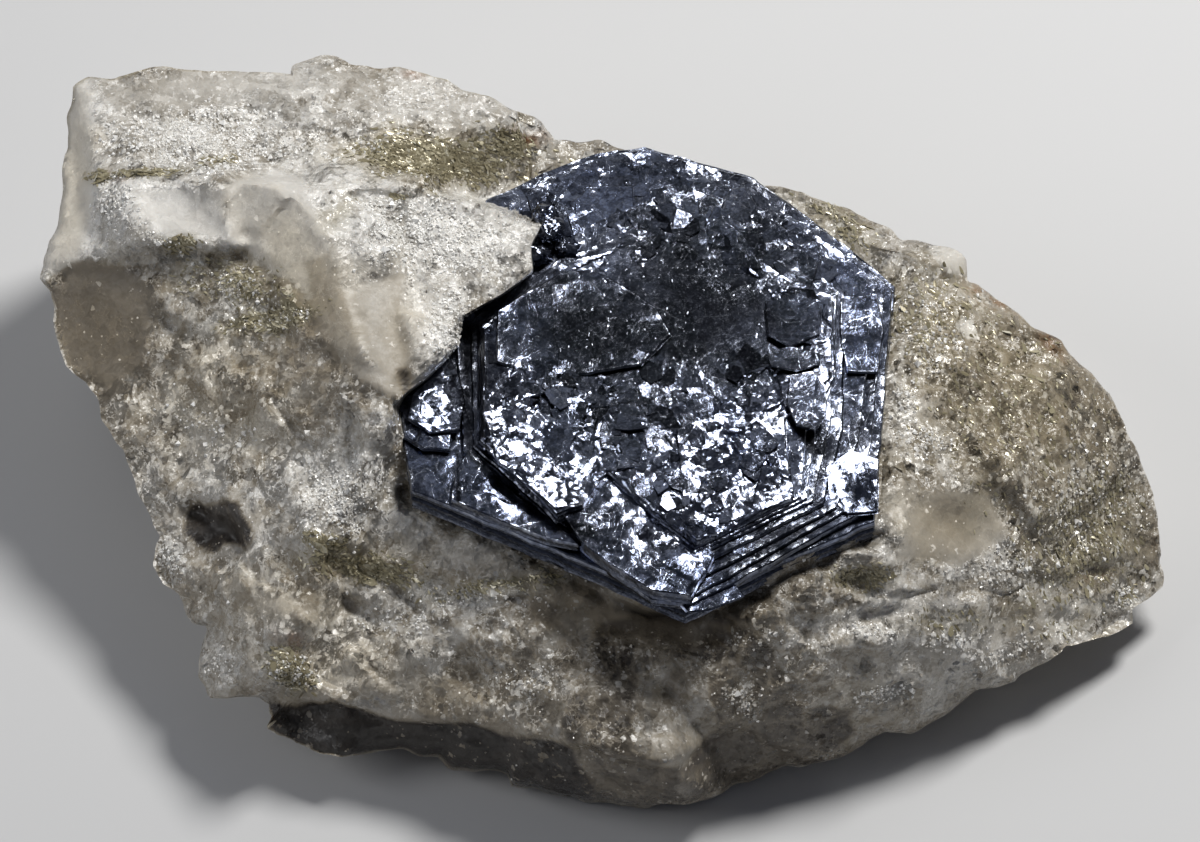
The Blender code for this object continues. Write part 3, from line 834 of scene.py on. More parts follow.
def grain_material():
    """Sugary quartz grains: clear grey to white, glassy."""
    material, nodes, shader, place = new_material("quartz_grains")
    tones = (0.0, (0.36, 0.33, 0.28)), (0.5, (0.58, 0.55, 0.50)), (1.0, (0.90, 0.89, 0.86))
    nodes.feed(shader, {
        "Base Color": nodes.shades(nodes.mask("tone"), *tones),
        "Roughness": nodes.ramp(nodes.noise(place, 7000.0, 2.0), 0.3, 0.7, 0.12, 0.4),
        "IOR": QUARTZ_IOR,
    })
    return material


def metal_material(settings, name, rough_low, rough_high):
    """Molybdenite: dark lead-blue metal. Shine leans faces to the light, foil crinkles them, painted shade blackens
    them, and painted highlights lighten lines, slivers and edges.
    """
    material, nodes, shader, place = new_material(name)
    foil, painted_shade, blue, shine, lying, edge_highlight = nodes.masks("foil", "painted_shade", "blue", "shine", "lying", "edge_highlight")
    broad = nodes.noise(place, 420.0, 4.0)
    fine = nodes.noise(place, 3600.0, 5.0, 0.7)
    coarse = nodes.group("Tilted cells", Vector=place, Scale=1300.0, Tilt=0.03 + foil * 0.25, Share=0.8)
    sparkle = nodes.group("Tilted cells", Vector=place, Scale=4200.0, Tilt=0.05 + foil * 0.16, Share=0.4)
    colour = nodes.mix(nodes.ramp(broad, 0.3, 0.7), (*settings.metal_colour, 1), (0.15, 0.16, 0.20, 1))
    colour = nodes.mix(blue * 0.6, colour, (0.11, 0.14, 0.24, 1))
    # Painted shade on the facets: each is darker as its cells tilt west, away from the key light's side.
    painted_facet_shade = nodes.ramp(coarse["Cell"], 0.0, 1.0, 0.35, 1.15) * nodes.ramp(sparkle["Cell"], 0.0, 1.0, 0.5, 1.2)
    colour = nodes.mix(nodes.ramp(painted_facet_shade, 0.1, 1.0, 0.85, 0.0), colour, (0.03, 0.033, 0.042, 1))
    # Painted shade: the colour is blackened where the metal lies in shade or mirrors its dark surroundings.
    colour = nodes.mix(painted_shade * 0.92, colour, (0.016, 0.017, 0.021, 1))

    folds = nodes.group("Borders", Vector=nodes.warped(place, 500.0, 0.7), Scale=1000.0, Width=0.022)
    along_scratch = nodes.vector("MULTIPLY", nodes.warped(place, 700.0, 0.8), (1.0, 0.4, 1.0))
    line_glints = nodes.group("Borders", Vector=along_scratch, Scale=3000.0, Width=0.045)
    lit = (1.0 - painted_shade * 0.65).held() * (0.45 + foil * 0.5)
    # Painted highlight: fold and scratch lines, brighter where the metal is lit.
    line_glints = nodes.maths("MAXIMUM", folds, line_glints * 0.8) * lit
    share = (0.015 + foil * 0.04) * nodes.ramp(broad, 0.35, 0.65, 0.3, 1.7)
    along_sliver = nodes.vector("MULTIPLY", nodes.warped(place, 1500.0, 1.2), (1.0, 0.45, 1.0))
    sliver_glints = nodes.group("Specks", Vector=along_sliver, Scale=26000.0, Share=share, Round=0.0)
    grit = nodes.group("Specks", Vector=place, Scale=16000.0, Share=0.22, Round=0.5)
    colour = nodes.mix(grit * 0.22, colour, (0.42, 0.45, 0.52, 1))
    # Painted highlight: the colour is lightened along the plates' top edges, broken off by noise.
    edge_highlight = edge_highlight * (nodes.ramp(fine, 0.46, 0.56) * (0.9 - painted_shade * 0.5).held())
    # Painted highlight: lines, slivers and top edges lighten the colour and also lean the normal to the light.
    painted_highlight = nodes.maths("MAXIMUM", nodes.maths("MAXIMUM", line_glints, sliver_glints * 0.5), edge_highlight)

    streaks = nodes.noise(nodes.vector("MULTIPLY", place, (1.0, 0.4, 1.0)), 2400.0, 3.0, 0.6)
    turned = shine * (nodes.ramp(streaks, 0.40, 0.62, 0.25, 1.15) * lying)
    turned = nodes.maths("MAXIMUM", turned, painted_highlight * 0.8)
    lean = tuple(glint_normal() * (1, 1, 0) / glint_normal()[2])
    offsets = (coarse["Offset"], sparkle["Offset"], nodes.scaled(lean, turned))
    nodes.feed(shader, {
        "Base Color": nodes.mix(painted_highlight * 0.7, colour, (0.5, 0.53, 0.6, 1)),
        "Metallic": 1.0,
        "Roughness": nodes.ramp(fine, 0.3, 0.7, rough_low, rough_high),
        "Normal": bumped(nodes, offsets, fine, 0.35, 0.00004),
    })
    return material


# The quartz lump

# Millimetres over which two fracture faces are rounded where they meet, and a length beyond any on the specimen.
ROUNDING = 0.08
FAR = 99.0


def depth_of_face(face, across, up):
    """Depth of a flat fracture face: where the line of sight meets its plane."""
    face_across, face_down, height, azimuth, elevation = face
    normal = facing(azimuth, elevation)
    on_face = placed(*in_view(face_across, face_down), depth_at(face_down, height))
    return ((on_face - placed(across, up, 0.0 * across)) @ normal) / (normal @ TOWARD)


def soft_least(values, blend):
    """The least of several surfaces, rounded where two meet: least - blend x log(sum of exp(-excess / blend))."""
    least = np.min(values, axis=0)
    return least - blend * np.log(np.exp((least - values) / blend).sum(axis=0))


def front_depth(across, up):
    """Near surface: the nearest of three chunks, each the farthest-back of its own faces."""
    chunks = [
        soft_least(np.array([depth_of_face(face, across, up) for face in faces]), ROUNDING)
        for faces in (MAIN_FACES, LEFT_FACES, BLOCK_FACES)
    ]
    return -soft_least(-np.array(chunks), ROUNDING)


def back_depth(across, up):
    """Far surface: the nearest of the under faces and the base, and always behind the near surface."""
    base = (-FLOOR_DEPTH - CENTRE_HEIGHT - up * COS_E) / SIN_E
    far = np.max([base] + [depth_of_face(face, across, up) for face in UNDER_FACES], axis=0)
    return np.minimum(far, front_depth(across, up) - LEAST_THICKNESS)


def outline_at(angle):
    """Distance and depth of the outline at each angle, run straight between its listed points."""
    across, down, height = np.array(OUTLINE, float).T
    u, v = in_view(across, down)
    turn = np.arctan2(v, u)
    order = np.argsort(turn)
    distance = np.interp(angle, turn[order], np.hypot(u, v)[order], period=FULL_TURN)
    return distance, np.interp(angle, turn[order], depth_at(down, height)[order], period=FULL_TURN)


def even_angles(count):
    """Angles that step evenly, partly by turn and partly by length along the outline."""
    fine = np.linspace(0, FULL_TURN, 4001)
    distance, _ = outline_at(fine)
    step = np.hypot(np.diff(distance * np.cos(fine)), np.diff(distance * np.sin(fine)))
    length = np.concatenate([[0.0], np.cumsum(step)])
    blend = 0.4 * fine / fine[-1] + 0.6 * length / length[-1]
    return np.interp(np.arange(count) / count, blend, fine)


# Rings of the lump's grid: on the crystal's seat, on the whole front and at the back.
SEAT_RINGS = 10
FRONT_RINGS = 104
BACK_RINGS = 27
# How far out the seat may reach, as a share of the outline.
SEAT_LIMIT = 0.975
# In millimetres: the width of the wall round the seat, and how far the outline is broken back.
WALL = 0.10
RAGGED_RIM = 0.10
# Passes that even out the normals, before the facets and before the scoops.
FACET_PASSES = 4
SCOOP_PASSES = 5
# Passes that round the front, and how far out they reach, as a share of the outline.
ROUND_PASSES = 4
ROUND_TO = 0.97


def reach_of(corners, angle):
    """Distance from the view's centre to a closed outline at each angle: that of the nearest side the ray meets."""
    u, v = in_view(*np.array(corners, float).T)
    ray_u, ray_v = np.cos(angle), np.sin(angle)
    nearest = np.full(angle.shape, FAR)
    for k in range(len(u)):
        du, dv = u[k] - u[k - 1], v[k] - v[k - 1]
        turn = ray_u * dv - ray_v * du
        turn = np.where(np.abs(turn) < 1e-9, 1e-9, turn)
        along = (u[k - 1] * ray_v - v[k - 1] * ray_u) / turn
        out = (u[k - 1] * dv - v[k - 1] * du) / turn
        nearest = np.where((along >= 0) & (along <= 1) & (out > 0), np.minimum(nearest, out), nearest)
    return nearest


def lump_reach(angle, distance):
    """Reach of each ring, 0 at the pole to 1 at the outline and back, and of the seat that one ring follows."""
    seat = np.minimum(reach_of(SEAT, angle) / distance, SEAT_LIMIT)
    start = seat + WALL / distance
    inside = np.linspace(0, 1, SEAT_RINGS)[:, None] * seat
    outside = start + (1 - start) * np.linspace(0, 1, FRONT_RINGS - SEAT_RINGS)[:, None] ** 0.93
    back = np.linspace(1, 0, BACK_RINGS + 1)[1:, None] ** 0.8 + 0 * angle
    return np.concatenate([inside, outside, back]), seat


def soft_normals(grid, passes):
    """Normals of a grid, averaged with their neighbours this many times."""
    normal, _ = grid_normals(grid)
    for _ in range(passes):
        total = normal + np.roll(normal, 1, axis=1) + np.roll(normal, -1, axis=1)
        total[1:-1] += normal[2:] + normal[:-2]
        normal = total / np.maximum(np.linalg.norm(total, axis=-1, keepdims=True), 1e-9)
    return normal


def lump_masks(points, ragged, front):
    """What the quartz is like at each point: by the tables of patches in front, by smooth noise at the back."""
    across, down = seen_at(points)

    def painted(patches, at_back):
        return np.where(front, patch_mask(across, down, patches, ragged), at_back)

    shade = np.full(across.shape, PLAIN_SHADE)
    for corners, border, level in SHADES:
        shade += (level - shade) * inside_corners(across, down, corners, border, 5.0 * ragged)
    glassy = patch_mask(across, down, GLASSY_PATCHES, ragged)
    for corners in FLAT_FACES:
        glassy = np.maximum(glassy, inside_corners(across, down, corners, 4.0, 3.0 * ragged))
    return {
        "shade": np.where(front, shade, 0.45 + 0.12 * soft_noise(points, 3.5, 87)),
        "mica": painted(MICA_PATCHES, np.clip(soft_noise(points, 4.0, 85) * 1.6 - 0.4, 0, 0.8)),
        "glassy": np.where(front, glassy, 0.2),
        "sugar": painted(SUGAR_PATCHES, 0.3),
        "stain": painted(STAIN_PATCHES, 0.0),
        "warm": painted(WARM_PATCHES, 0.3),
    }


def under_crystal(points, angle, from_seat, behind):
    """The points, lowered along the view to the seat and to the slope that rises from it where it is free."""
    across, down = seen_at(points)
    covered = (angle > COVERED_FROM) & (angle < COVERED_TO)
    rise = FREE_RISE + STEEP_RISE * np.clip(1 - (angle - COVERED_TO) / STEEP_TURN, 0, 1) * (angle > COVERED_TO)
    highest = np.where(covered & (from_seat > 0.01), FAR, SEAT_HEIGHT + rise * np.maximum(from_seat, 0))
    outside = inside_corners(across, down, CORNER, 1.0) < 0.5
    from_corner = from_course(across, down, CORNER + CORNER[:1]) * UNIT * outside
    beyond = covered & (inside_corners(across, down, BEYOND_BLOCK, 1.0) > 0.5)
    highest = np.where(beyond, SEAT_HEIGHT + BEYOND_RISE * from_corner, highest)
    highest = np.where(behind, FAR, highest)
    under = placed(*in_view(across, down), depth_at(down, highest))
    return np.where(under[..., 2:] < points[..., 2:], under, points)


def lump_surface(spokes):
    """The finished lump as a grid, with its masks: the plain lump, moved along its normals by facets and patches."""
    angle = even_angles(spokes)
    distance, edge = outline_at(angle)
    rim = placed(distance * np.cos(angle), distance * np.sin(angle), 0 * angle)
    distance = distance - RAGGED_RIM * (1.2 + soft_noise(rim, 0.7, 71) + 0.5 * soft_noise(rim, 0.35, 73))
    reach, seat = lump_reach(angle, distance)
    behind = np.arange(len(reach))[:, None] >= FRONT_RINGS
    u, v = distance * np.cos(angle), distance * np.sin(angle)
    edge = np.clip(edge, back_depth(u, v), front_depth(u, v))
    u, v = reach * u, reach * v
    depth = np.where(behind, back_depth(u, v), front_depth(u, v))
    fullness = np.sqrt(1.0 - np.clip(reach, 0, 1) ** EDGE_SHARPNESS)
    points = placed(u, v, edge + (depth - edge) * fullness)
    from_seat = np.where(behind, 9.0, (reach - seat) * distance)
    calm = (1.0 - CALM_AT_EDGE * reach**CALM_SHARPNESS) * np.clip(from_seat / 0.5, 0.25, 1)
    normal = soft_normals(points, FACET_PASSES)
    across, down = seen_at(points)
    flat = np.zeros(across.shape)
    for corners in FLAT_FACES:
        flat = np.maximum(flat, np.where(behind, 0.0, inside_corners(across, down, corners, 16.0)))
    calm = calm * (1.0 - 0.8 * flat)
    for size, amount, salt in BROAD_FACETS:
        points = points + normal * (amount * calm * facet_noise(points, size, salt))[..., None]

    across, down = seen_at(points)
    ragged = soft_noise(points, 1.3, 81) + 0.6 * soft_noise(points, 0.5, 83)
    front = ~behind & (reach < 0.999)
    masks = lump_masks(points, ragged, front)
    relief = patch_relief(across, down, RELIEF_PATCHES, ragged)
    for corners, border, step in LEDGES:
        relief += step * inside_corners(across, down, corners, border, 4.0 * ragged)
    cracks = crack_depth(across, down, ragged)
    relief = np.where(front, relief - cracks, 0.0)
    # Painted shade in cracks and deep hollows, by how deep they are.
    masks["hollow_shade"] = np.where(front, np.clip(cracks * 1.6 + np.clip(-relief - 0.6, 0, 1) * 1.5, 0, 1), 0.0)
    settle = np.clip((1.02 - reach) * 14, 0, 1)
    points = points + TOWARD * (relief * settle)[..., None]
    normal = soft_normals(points, SCOOP_PASSES)
    rim = np.zeros(across.shape)
    for size, amount, salt, kept in SCOOPS:
        scoop, near_rim = scoop_noise(points, size, salt)
        strength = calm * (1.0 - (1.0 - kept) * np.clip(masks["glassy"], 0, 1))
        points = points + normal * (amount * strength * scoop)[..., None]
        rim = np.maximum(rim, near_rim * strength * (size > 0.5))
    # The rim mask marks the scoops' sharp rims, for a painted highlight in the material.
    masks["rim"] = rim
    size, amount, salt = GRANULES
    grainy = calm * np.clip(masks["mica"] + 0.7 * masks["sugar"], 0, 1) * (1 - np.clip(masks["glassy"], 0, 1))
    points = points + normal * (amount * grainy * facet_noise(points, size, salt))[..., None]
    points = under_crystal(points, angle, from_seat, behind)
    for _ in range(ROUND_PASSES):
        rounded = 0.5 * points + 0.25 * (np.roll(points, 1, axis=1) + np.roll(points, -1, axis=1))
        points = np.where(((reach < ROUND_TO) & ~behind)[..., None], rounded, points)
    low, high = (np.array(corner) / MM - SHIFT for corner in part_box("quartz_matrix"))
    masks["seat"] = (from_seat < 0.01).astype(float)
    return np.clip(points, low, high), masks, front


def scattered(grid, weight, count, rng):
    """Random points of a grid, picked by weight times area and moved up to half a cell, with their normals."""
    normal, area = grid_normals(grid)
    chance = (weight * area).ravel()
    picks = rng.choice(chance.size, count, p=chance / chance.sum())
    around = (np.roll(grid, -1, axis=1) - np.roll(grid, 1, axis=1)) / 2
    moved = grid.reshape(-1, 3)[picks]
    for step in (around, np.gradient(grid, axis=0)):
        moved = moved + step.reshape(-1, 3)[picks] * rng.uniform(-0.5, 0.5, (count, 1))
    return moved, normal.reshape(-1, 3)[picks], picks


def frames_about(normal, spin):
    """Two unit vectors square to each normal, turned round it by spin."""
    helper = np.where(np.abs(normal[:, 2:]) < 0.9, (0.0, 0.0, 1.0), (1.0, 0.0, 0.0))
    first = unit(np.cross(helper, normal))
    second = np.cross(normal, first)
    c, s = np.cos(spin)[:, None], np.sin(spin)[:, None]
    return first * c + second * s, second * c - first * s


# How the mica lies on the left and on the right, and how much longer and narrower than round a scale is.
LEFT_GRAIN = 0.92 * ACROSS - 0.39 * UPWARD
RIGHT_GRAIN = 0.55 * ACROSS - 0.83 * UPWARD
LONG = 1.6


def double_fans(sides, count):
    """Faces of many small pieces, each a ring of this many points and then two tips, with a fan to each tip."""
    k = np.arange(sides)
    after = (k + 1) % sides
    fans = np.concatenate([np.stack([k, after, sides + 0 * k], 1), np.stack([after, k, sides + 1 + 0 * k], 1)])
    return (fans[None] + (sides + 2) * np.arange(count)[:, None, None]).reshape(-1, 3).tolist()


def scales(name, centre, normal, radius, thickness, rng):
    """Long six-sided scales: an oval ring along the grain, with a tip half a thickness above and below its middle."""
    count = len(centre)
    grain = np.where(centre[:, :1] < 0, LEFT_GRAIN, RIGHT_GRAIN) + 0.35 * rng.normal(size=(count, 3))
    second = unit(np.cross(normal, grain))
    first = np.cross(second, normal)
    turn = np.arange(6) * math.pi / 3
    size = radius[:, None] * rng.uniform(0.7, 1.25, (count, 6))
    ring = (
        centre[:, None]
        + first[:, None] * (LONG * size * np.cos(turn))[..., None]
        + second[:, None] * (size / LONG * np.sin(turn))[..., None]
    )
    tips = centre[:, None] + normal[:, None] * (np.array((0.5, -0.5)) * thickness)[None, :, None]
    points = np.concatenate([ring, tips], axis=1)
    tone = np.repeat(rng.uniform(0, 1, count) ** 2.2, 8)
    return new_piece(name, points.reshape(-1, 3) + SHIFT, double_fans(6, count), {"tone": tone}, SMALL_SHARP)


def grains(name, centre, normal, radius, tone, rng):
    """Eight-sided grains: the six tips of an octahedron, each at its own distance from the middle."""
    count = len(centre)
    first, second = frames_about(normal, rng.uniform(0, FULL_TURN, count))
    axes = np.stack([first, second, normal], axis=1)
    signs = np.array([(0, 1), (1, 1), (0, -1), (1, -1), (2, 1), (2, -1)])
    reach = radius[:, None] * rng.uniform(0.6, 1.4, (count, 6))
    points = centre[:, None] + axes[:, signs[:, 0]] * (signs[:, 1] * reach)[..., None]
    masks = {"tone": np.repeat(tone, 6)}
    return new_piece(name, points.reshape(-1, 3) + SHIFT, double_fans(4, count), masks, SMALL_SHARP)


# Reach of a small piece's farthest tip, and a little more, in radii.
BOX_MARGIN = 2.3


def inside_box(centre, radius):
    """Centres moved so that a piece of this radius stays inside the lump's own box."""
    low, high = (np.array(corner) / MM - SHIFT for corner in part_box("quartz_matrix"))
    margin = BOX_MARGIN * radius[:, None]
    return np.clip(centre, low + margin, high - margin)


# The crystal

# The base plate's corners in the view, and the plates stacked on it: top, thickness and corners in the view.
BASE_CORNERS = (
    (430, 290), (399, 406), (412, 490), (573, 556), (685, 606), (776, 562), (873, 521), (884, 400), (897, 285),
    (852, 247), (755, 174), (645, 143), (596, 150), (542, 170), (485, 197),
)
BASE_TOP = 8.15
BASE_THICKNESS = 0.95
STACK = (
    (8.42, 0.40, ((455, 322), (464, 452), (556, 524), (600, 562), (651, 598), (692, 602), (736, 580), (868, 508),
        (881, 440), (894, 288), (848, 245), (755, 176), (645, 145), (596, 153), (548, 174), (508, 200), (490, 290))),
    (8.55, 0.20, ((470, 322), (473, 446), (556, 519), (600, 545), (648, 590), (690, 596), (732, 573), (852, 506),
        (872, 440), (886, 288), (842, 250), (752, 184), (650, 155), (570, 182), (530, 225), (497, 292))),
    (8.68, 0.20, ((478, 322), (478, 441), (557, 516), (584, 508), (604, 520), (640, 552), (692, 580), (726, 564),
        (836, 506), (858, 440), (878, 290), (834, 256), (748, 193), (656, 166), (580, 195), (540, 232), (500, 300))),
    (8.80, 0.20, ((480, 324), (480, 440), (557, 515), (584, 507), (605, 500), (640, 535), (690, 570), (720, 554),
        (822, 503), (842, 430), (846, 290), (824, 263), (740, 203), (662, 177), (590, 207), (548, 240), (503, 300))),
    (8.92, 0.20, ((481, 325), (481, 439), (557, 514), (583, 506), (606, 490), (645, 525), (692, 560), (714, 546),
        (812, 500), (830, 425), (840, 290), (812, 268), (730, 212), (664, 190), (600, 218), (552, 246), (506, 302))),
    (9.02, 0.20, ((482, 326), (482, 438), (557, 513), (583, 505), (606, 482), (648, 516), (693, 552), (806, 498),
        (815, 430), (836, 380), (837, 292), (800, 272), (722, 218), (662, 203), (604, 230), (556, 252), (508, 304))),
    (9.12, 0.20, ((483, 327), (483, 437), (557, 512), (583, 504), (607, 476), (650, 512), (694, 547), (800, 496),
        (806, 428), (834, 378), (835, 296), (790, 278), (712, 226), (658, 212), (608, 240), (558, 258), (510, 306))),
    (9.30, 0.60, ((484, 328), (484, 436), (557, 511), (583, 503), (607, 472), (652, 510), (696, 542), (793, 495),
        (785, 416), (832, 374), (833, 300), (782, 284), (704, 236), (650, 222), (606, 248), (560, 264), (510, 308))),
)
BEVEL = 0.035
RAGGED_PLATE = 0.03
# Rings of the base plate's top, of the stack's crinkled top and of the other plates and leaves.
BASE_RINGS = 60
TOP_RINGS = 110
PLATE_RINGS = 26

FOIL_PATCHES = (
    (530, 430, 60, 80, 20, 1.0), (640, 540, 70, 60, 10, 0.3), (735, 450, 80, 70, 0, 1.0), (690, 520, 60, 40, 0, 0.9),
    (640, 190, 150, 40, -15, 0.8), (780, 240, 80, 60, 30, 0.7), (540, 200, 50, 24, -28, 0.8),
    (860, 490, 30, 30, 0, 0.8), (700, 390, 110, 40, 0, 0.35), (440, 410, 30, 30, 0, 0.8), (700, 215, 90, 20, 10, 0.8),
)
# Painted shade and painted dark reflection: patches where the metal's colour is blackened.
PAINTED_SHADE_PATCHES = (
    (700, 310, 120, 110, 0, 1.0), (590, 330, 90, 66, 20, 1.0), (640, 400, 100, 44, 0, 0.6),
    (545, 240, 32, 34, 0, 1.0), (820, 450, 14, 30, 0, 0.9), (700, 590, 80, 20, -20, 0.4), (600, 460, 30, 40, 0, 0.3),
    (640, 480, 60, 40, 0, 0.2), (780, 545, 110, 34, -28, 0.9), (866, 400, 26, 90, 3, 0.55),
    (640, 560, 70, 26, 24, 0.15), (690, 165, 110, 16, 12, 0.5), (740, 270, 110, 40, 20, 0.6),
    (505, 350, 30, 50, 0, 0.5),
)
# Painted shadow in the gaps between plates, which blackens them: courses in the view and their half widths.
GAPS = (
    (((470, 330), (466, 400), (470, 446), (505, 484), (556, 524), (590, 530)), 8.0),
    (((458, 446), (459, 502)), 2.0),
    (((806, 430), (822, 470), (812, 498)), 7.0),
)
BLUE_PATCHES = (
    (865, 350, 34, 90, 0, 0.9), (430, 450, 40, 60, 0, 0.7), (600, 180, 110, 40, -20, 0.6), (850, 500, 60, 60, 0, 0.7),
    (740, 570, 140, 40, -20, 1.0), (470, 500, 110, 40, 22, 0.7), (860, 270, 60, 40, 40, 0.8),
    (500, 320, 40, 20, -20, 0.8),
)
SHINE_PATCHES = (
    (491, 394, 18, 14, 0, 1.0), (530, 440, 12, 40, -30, 1.0), (567, 472, 9, 32, 20, 1.0), (548, 468, 6, 26, -10, 0.8),
    (520, 408, 14, 8, 0, 0.7), (508, 440, 6, 20, -50, 0.7), (585, 415, 16, 7, 0, 0.6), (745, 430, 48, 10, -10, 1.0),
    (728, 452, 34, 7, -24, 0.9), (700, 462, 12, 22, 10, 0.8), (700, 508, 22, 16, -40, 1.0),
    (752, 462, 26, 6, -30, 0.7), (745, 470, 30, 12, 20, 0.5), (660, 430, 14, 8, 0, 0.5), (860, 490, 14, 24, -28, 1.0),
    (842, 470, 16, 8, 30, 0.8), (507, 500, 30, 10, 38, 1.0), (430, 418, 10, 11, 0, 0.9), (441, 400, 14, 12, 0, 0.5),
    (501, 305, 14, 5, 25, 0.9), (650, 203, 30, 6, -10, 0.5), (700, 190, 30, 4, 10, 0.4), (622, 210, 12, 6, 0, 0.6),
    (500, 355, 8, 12, 0, 0.6), (640, 585, 26, 6, 24, 0.6), (450, 470, 8, 14, 0, 0.4),
)


def flat_corners(corners, level):
    """Corners seen in the view, put on a level."""
    return np.array([placed(*in_view(a, d), depth_at(d, level)) for a, d in corners])[:, :2]


def rim_points(corners, spacing, ragged, salt):
    """Points at even spacing along straight sides, moved in or out a little by smooth noise."""
    parts = []
    for start, end in zip(corners, np.roll(corners, -1, axis=0)):
        count = max(2, int(np.linalg.norm(end - start) / spacing))
        parts.append(start + (end - start) * (np.arange(count) / count)[:, None])
    rim = np.concatenate(parts)
    after = np.roll(rim, -1, axis=0)
    cross = rim[:, 0] * after[:, 1] - rim[:, 1] * after[:, 0]
    middle = ((rim + after) * cross[:, None]).sum(axis=0) / (3 * cross.sum())
    where = np.column_stack([rim, np.full(len(rim), salt * 3.7)])
    wobble = soft_noise(where, 0.5, salt) + 0.5 * facet_noise(where, 0.7, salt + 9)
    rim = rim + unit(rim - middle) * (ragged * wobble)[:, None]
    return (rim[::-1], middle) if cross.sum() < 0 else (rim, middle)


def plate_grid(corners, level, thickness, relief, rings, salt, layers, spacing):
    """A plate and its painted shade in the grooves of its side and under it: shrunken rims make a top that follows
    relief, and a side of thin layers.
    """
    rim, middle = rim_points(flat_corners(corners, level), spacing, RAGGED_PLATE, salt)
    outward = unit(rim - middle)
    reach = np.linspace(0, 1, rings) ** 0.85
    flat = middle + reach[:, None, None] * (rim - BEVEL * outward - middle)
    top = np.concatenate([flat, np.full((*flat.shape[:2], 1), float(level))], axis=2)
    top[..., 2] += relief(top)
    edge = top[-1, :, 2]
    rows = [np.column_stack([rim, edge - BEVEL])]
    # Painted shade: the grooves between the side's layers and the rows under the plate are marked dark, the rim row
    # not.
    dark = [0.0]
    offsets = np.random.default_rng(salt).uniform(-0.03, 0.03, layers)
    for layer, offset in enumerate(offsets):
        z = edge - BEVEL - (thickness - BEVEL) * (layer + 1) / layers
        rows.append(np.column_stack([rim + outward * offset, z + 0.04]))
        rows.append(np.column_stack([rim + outward * (offset - 0.05), z]))
        dark += [0.3, 1.0]
    rows += [np.column_stack([middle + r * (rim - middle), z - 0.01]) for r in (0.9, 0.5)]
    rows.append(np.column_stack([middle + 0 * rim, np.full(len(rim), z.mean() - 0.01)]))
    dark += [1.0, 1.0, 1.0]
    grid = np.concatenate([top, np.array(rows)])
    groove_shade = np.concatenate([np.zeros(rings), dark])[:, None] + np.zeros(len(rim))
    return grid, groove_shade


def edge_of(grid, rings):
    """1 along a plate's top edge, broken off by noise, where a painted highlight lightens the metal, and 0 elsewhere.
    """
    row = np.arange(len(grid))[:, None]
    return ((row == rings - 1) | (row == rings)) * np.clip(1.4 * soft_noise(grid, 0.7, 99) + 0.5, 0, 1)


def metal_masks(grid, groove_shade, edge_highlight=0.0):
    """Where the metal is crinkled, blackened by painted shade, blue, lit by a painted highlight on its top edge, or
    turned to the light, by patches and courses in the view.
    """
    across, down = seen_at(grid)
    ragged = soft_noise(grid, 0.9, 91) + 0.6 * soft_noise(grid, 0.35, 93)
    # Painted shadow along the gaps between plates.
    gaps = np.zeros(across.shape)
    for course, half_width in GAPS:
        gaps = np.maximum(gaps, np.exp(-(((from_course(across, down, course) + 2 * ragged) / half_width) ** 4)))
    return {
        "foil": patch_mask(across, down, FOIL_PATCHES, ragged),
        "painted_shade": np.maximum(np.maximum(patch_mask(across, down, PAINTED_SHADE_PATCHES, ragged), gaps), groove_shade),
        "blue": patch_mask(across, down, BLUE_PATCHES, ragged),
        "shine": patch_mask(across, down, SHINE_PATCHES, 1.6 * ragged) * (1 - groove_shade) * (1 - gaps),
        "lying": np.ones(across.shape),
        "edge_highlight": edge_highlight + np.zeros(across.shape),
    }


def plain_relief(amount, salt):
    """Gently buckled: smooth noise and low facets."""

    def relief(points):
        smooth = soft_noise(points, 2.6, salt) + 0.4 * soft_noise(points, 0.8, salt + 1)
        return amount * (smooth + 0.5 * facet_noise(points, 1.1, salt + 2))

    return relief


def leaning_relief(amount, salt, corners, level, azimuth, angle):
    """A buckled plane that leans to an azimuth: height falls by tan(angle) for each millimetre that way."""
    middle = flat_corners(corners, level).mean(axis=0)
    fall = math.tan(math.radians(angle)) * facing(azimuth, 0.0)[:2]
    buckled = plain_relief(amount, salt)
    return lambda p: buckled(p) - (p[..., :2] - middle) @ fall


def top_relief(points):
    """The stack's top: a sunken middle, crinkled leaves leaning to the light, and thin curved steps."""
    across, down = seen_at(points)
    foil = patch_mask(across, down, FOIL_PATCHES, 0 * across)
    bowl = -0.40 * np.clip(1 - ((across - 690) / 130) ** 2 - ((down - 315) / 115) ** 2, 0, 1)
    glint = glint_normal()
    lean = (-glint[0] / glint[2] * 3.2, -glint[1] / glint[2] * 3.2, 0.0)
    leaves = 0.28 * facet_noise(points, 1.3, 131, lean, 40.0)
    foil = np.maximum(foil, 2.0 * np.clip(-bowl, 0, 0.3))
    crinkle = 0.085 * facet_noise(points, 0.55, 141, crispness=40.0) + 0.04 * facet_noise(points, 0.26, 151)
    ring = np.hypot(across - 700, (down - 400) * 1.15) / 38 + 0.6 * soft_noise(points, 2.2, 161)
    steps = -0.05 * (ring - np.floor(ring))
    return bowl + leaves * (0.2 + 0.8 * foil) + crinkle * (0.3 + foil) + steps * (1 - 0.5 * foil)


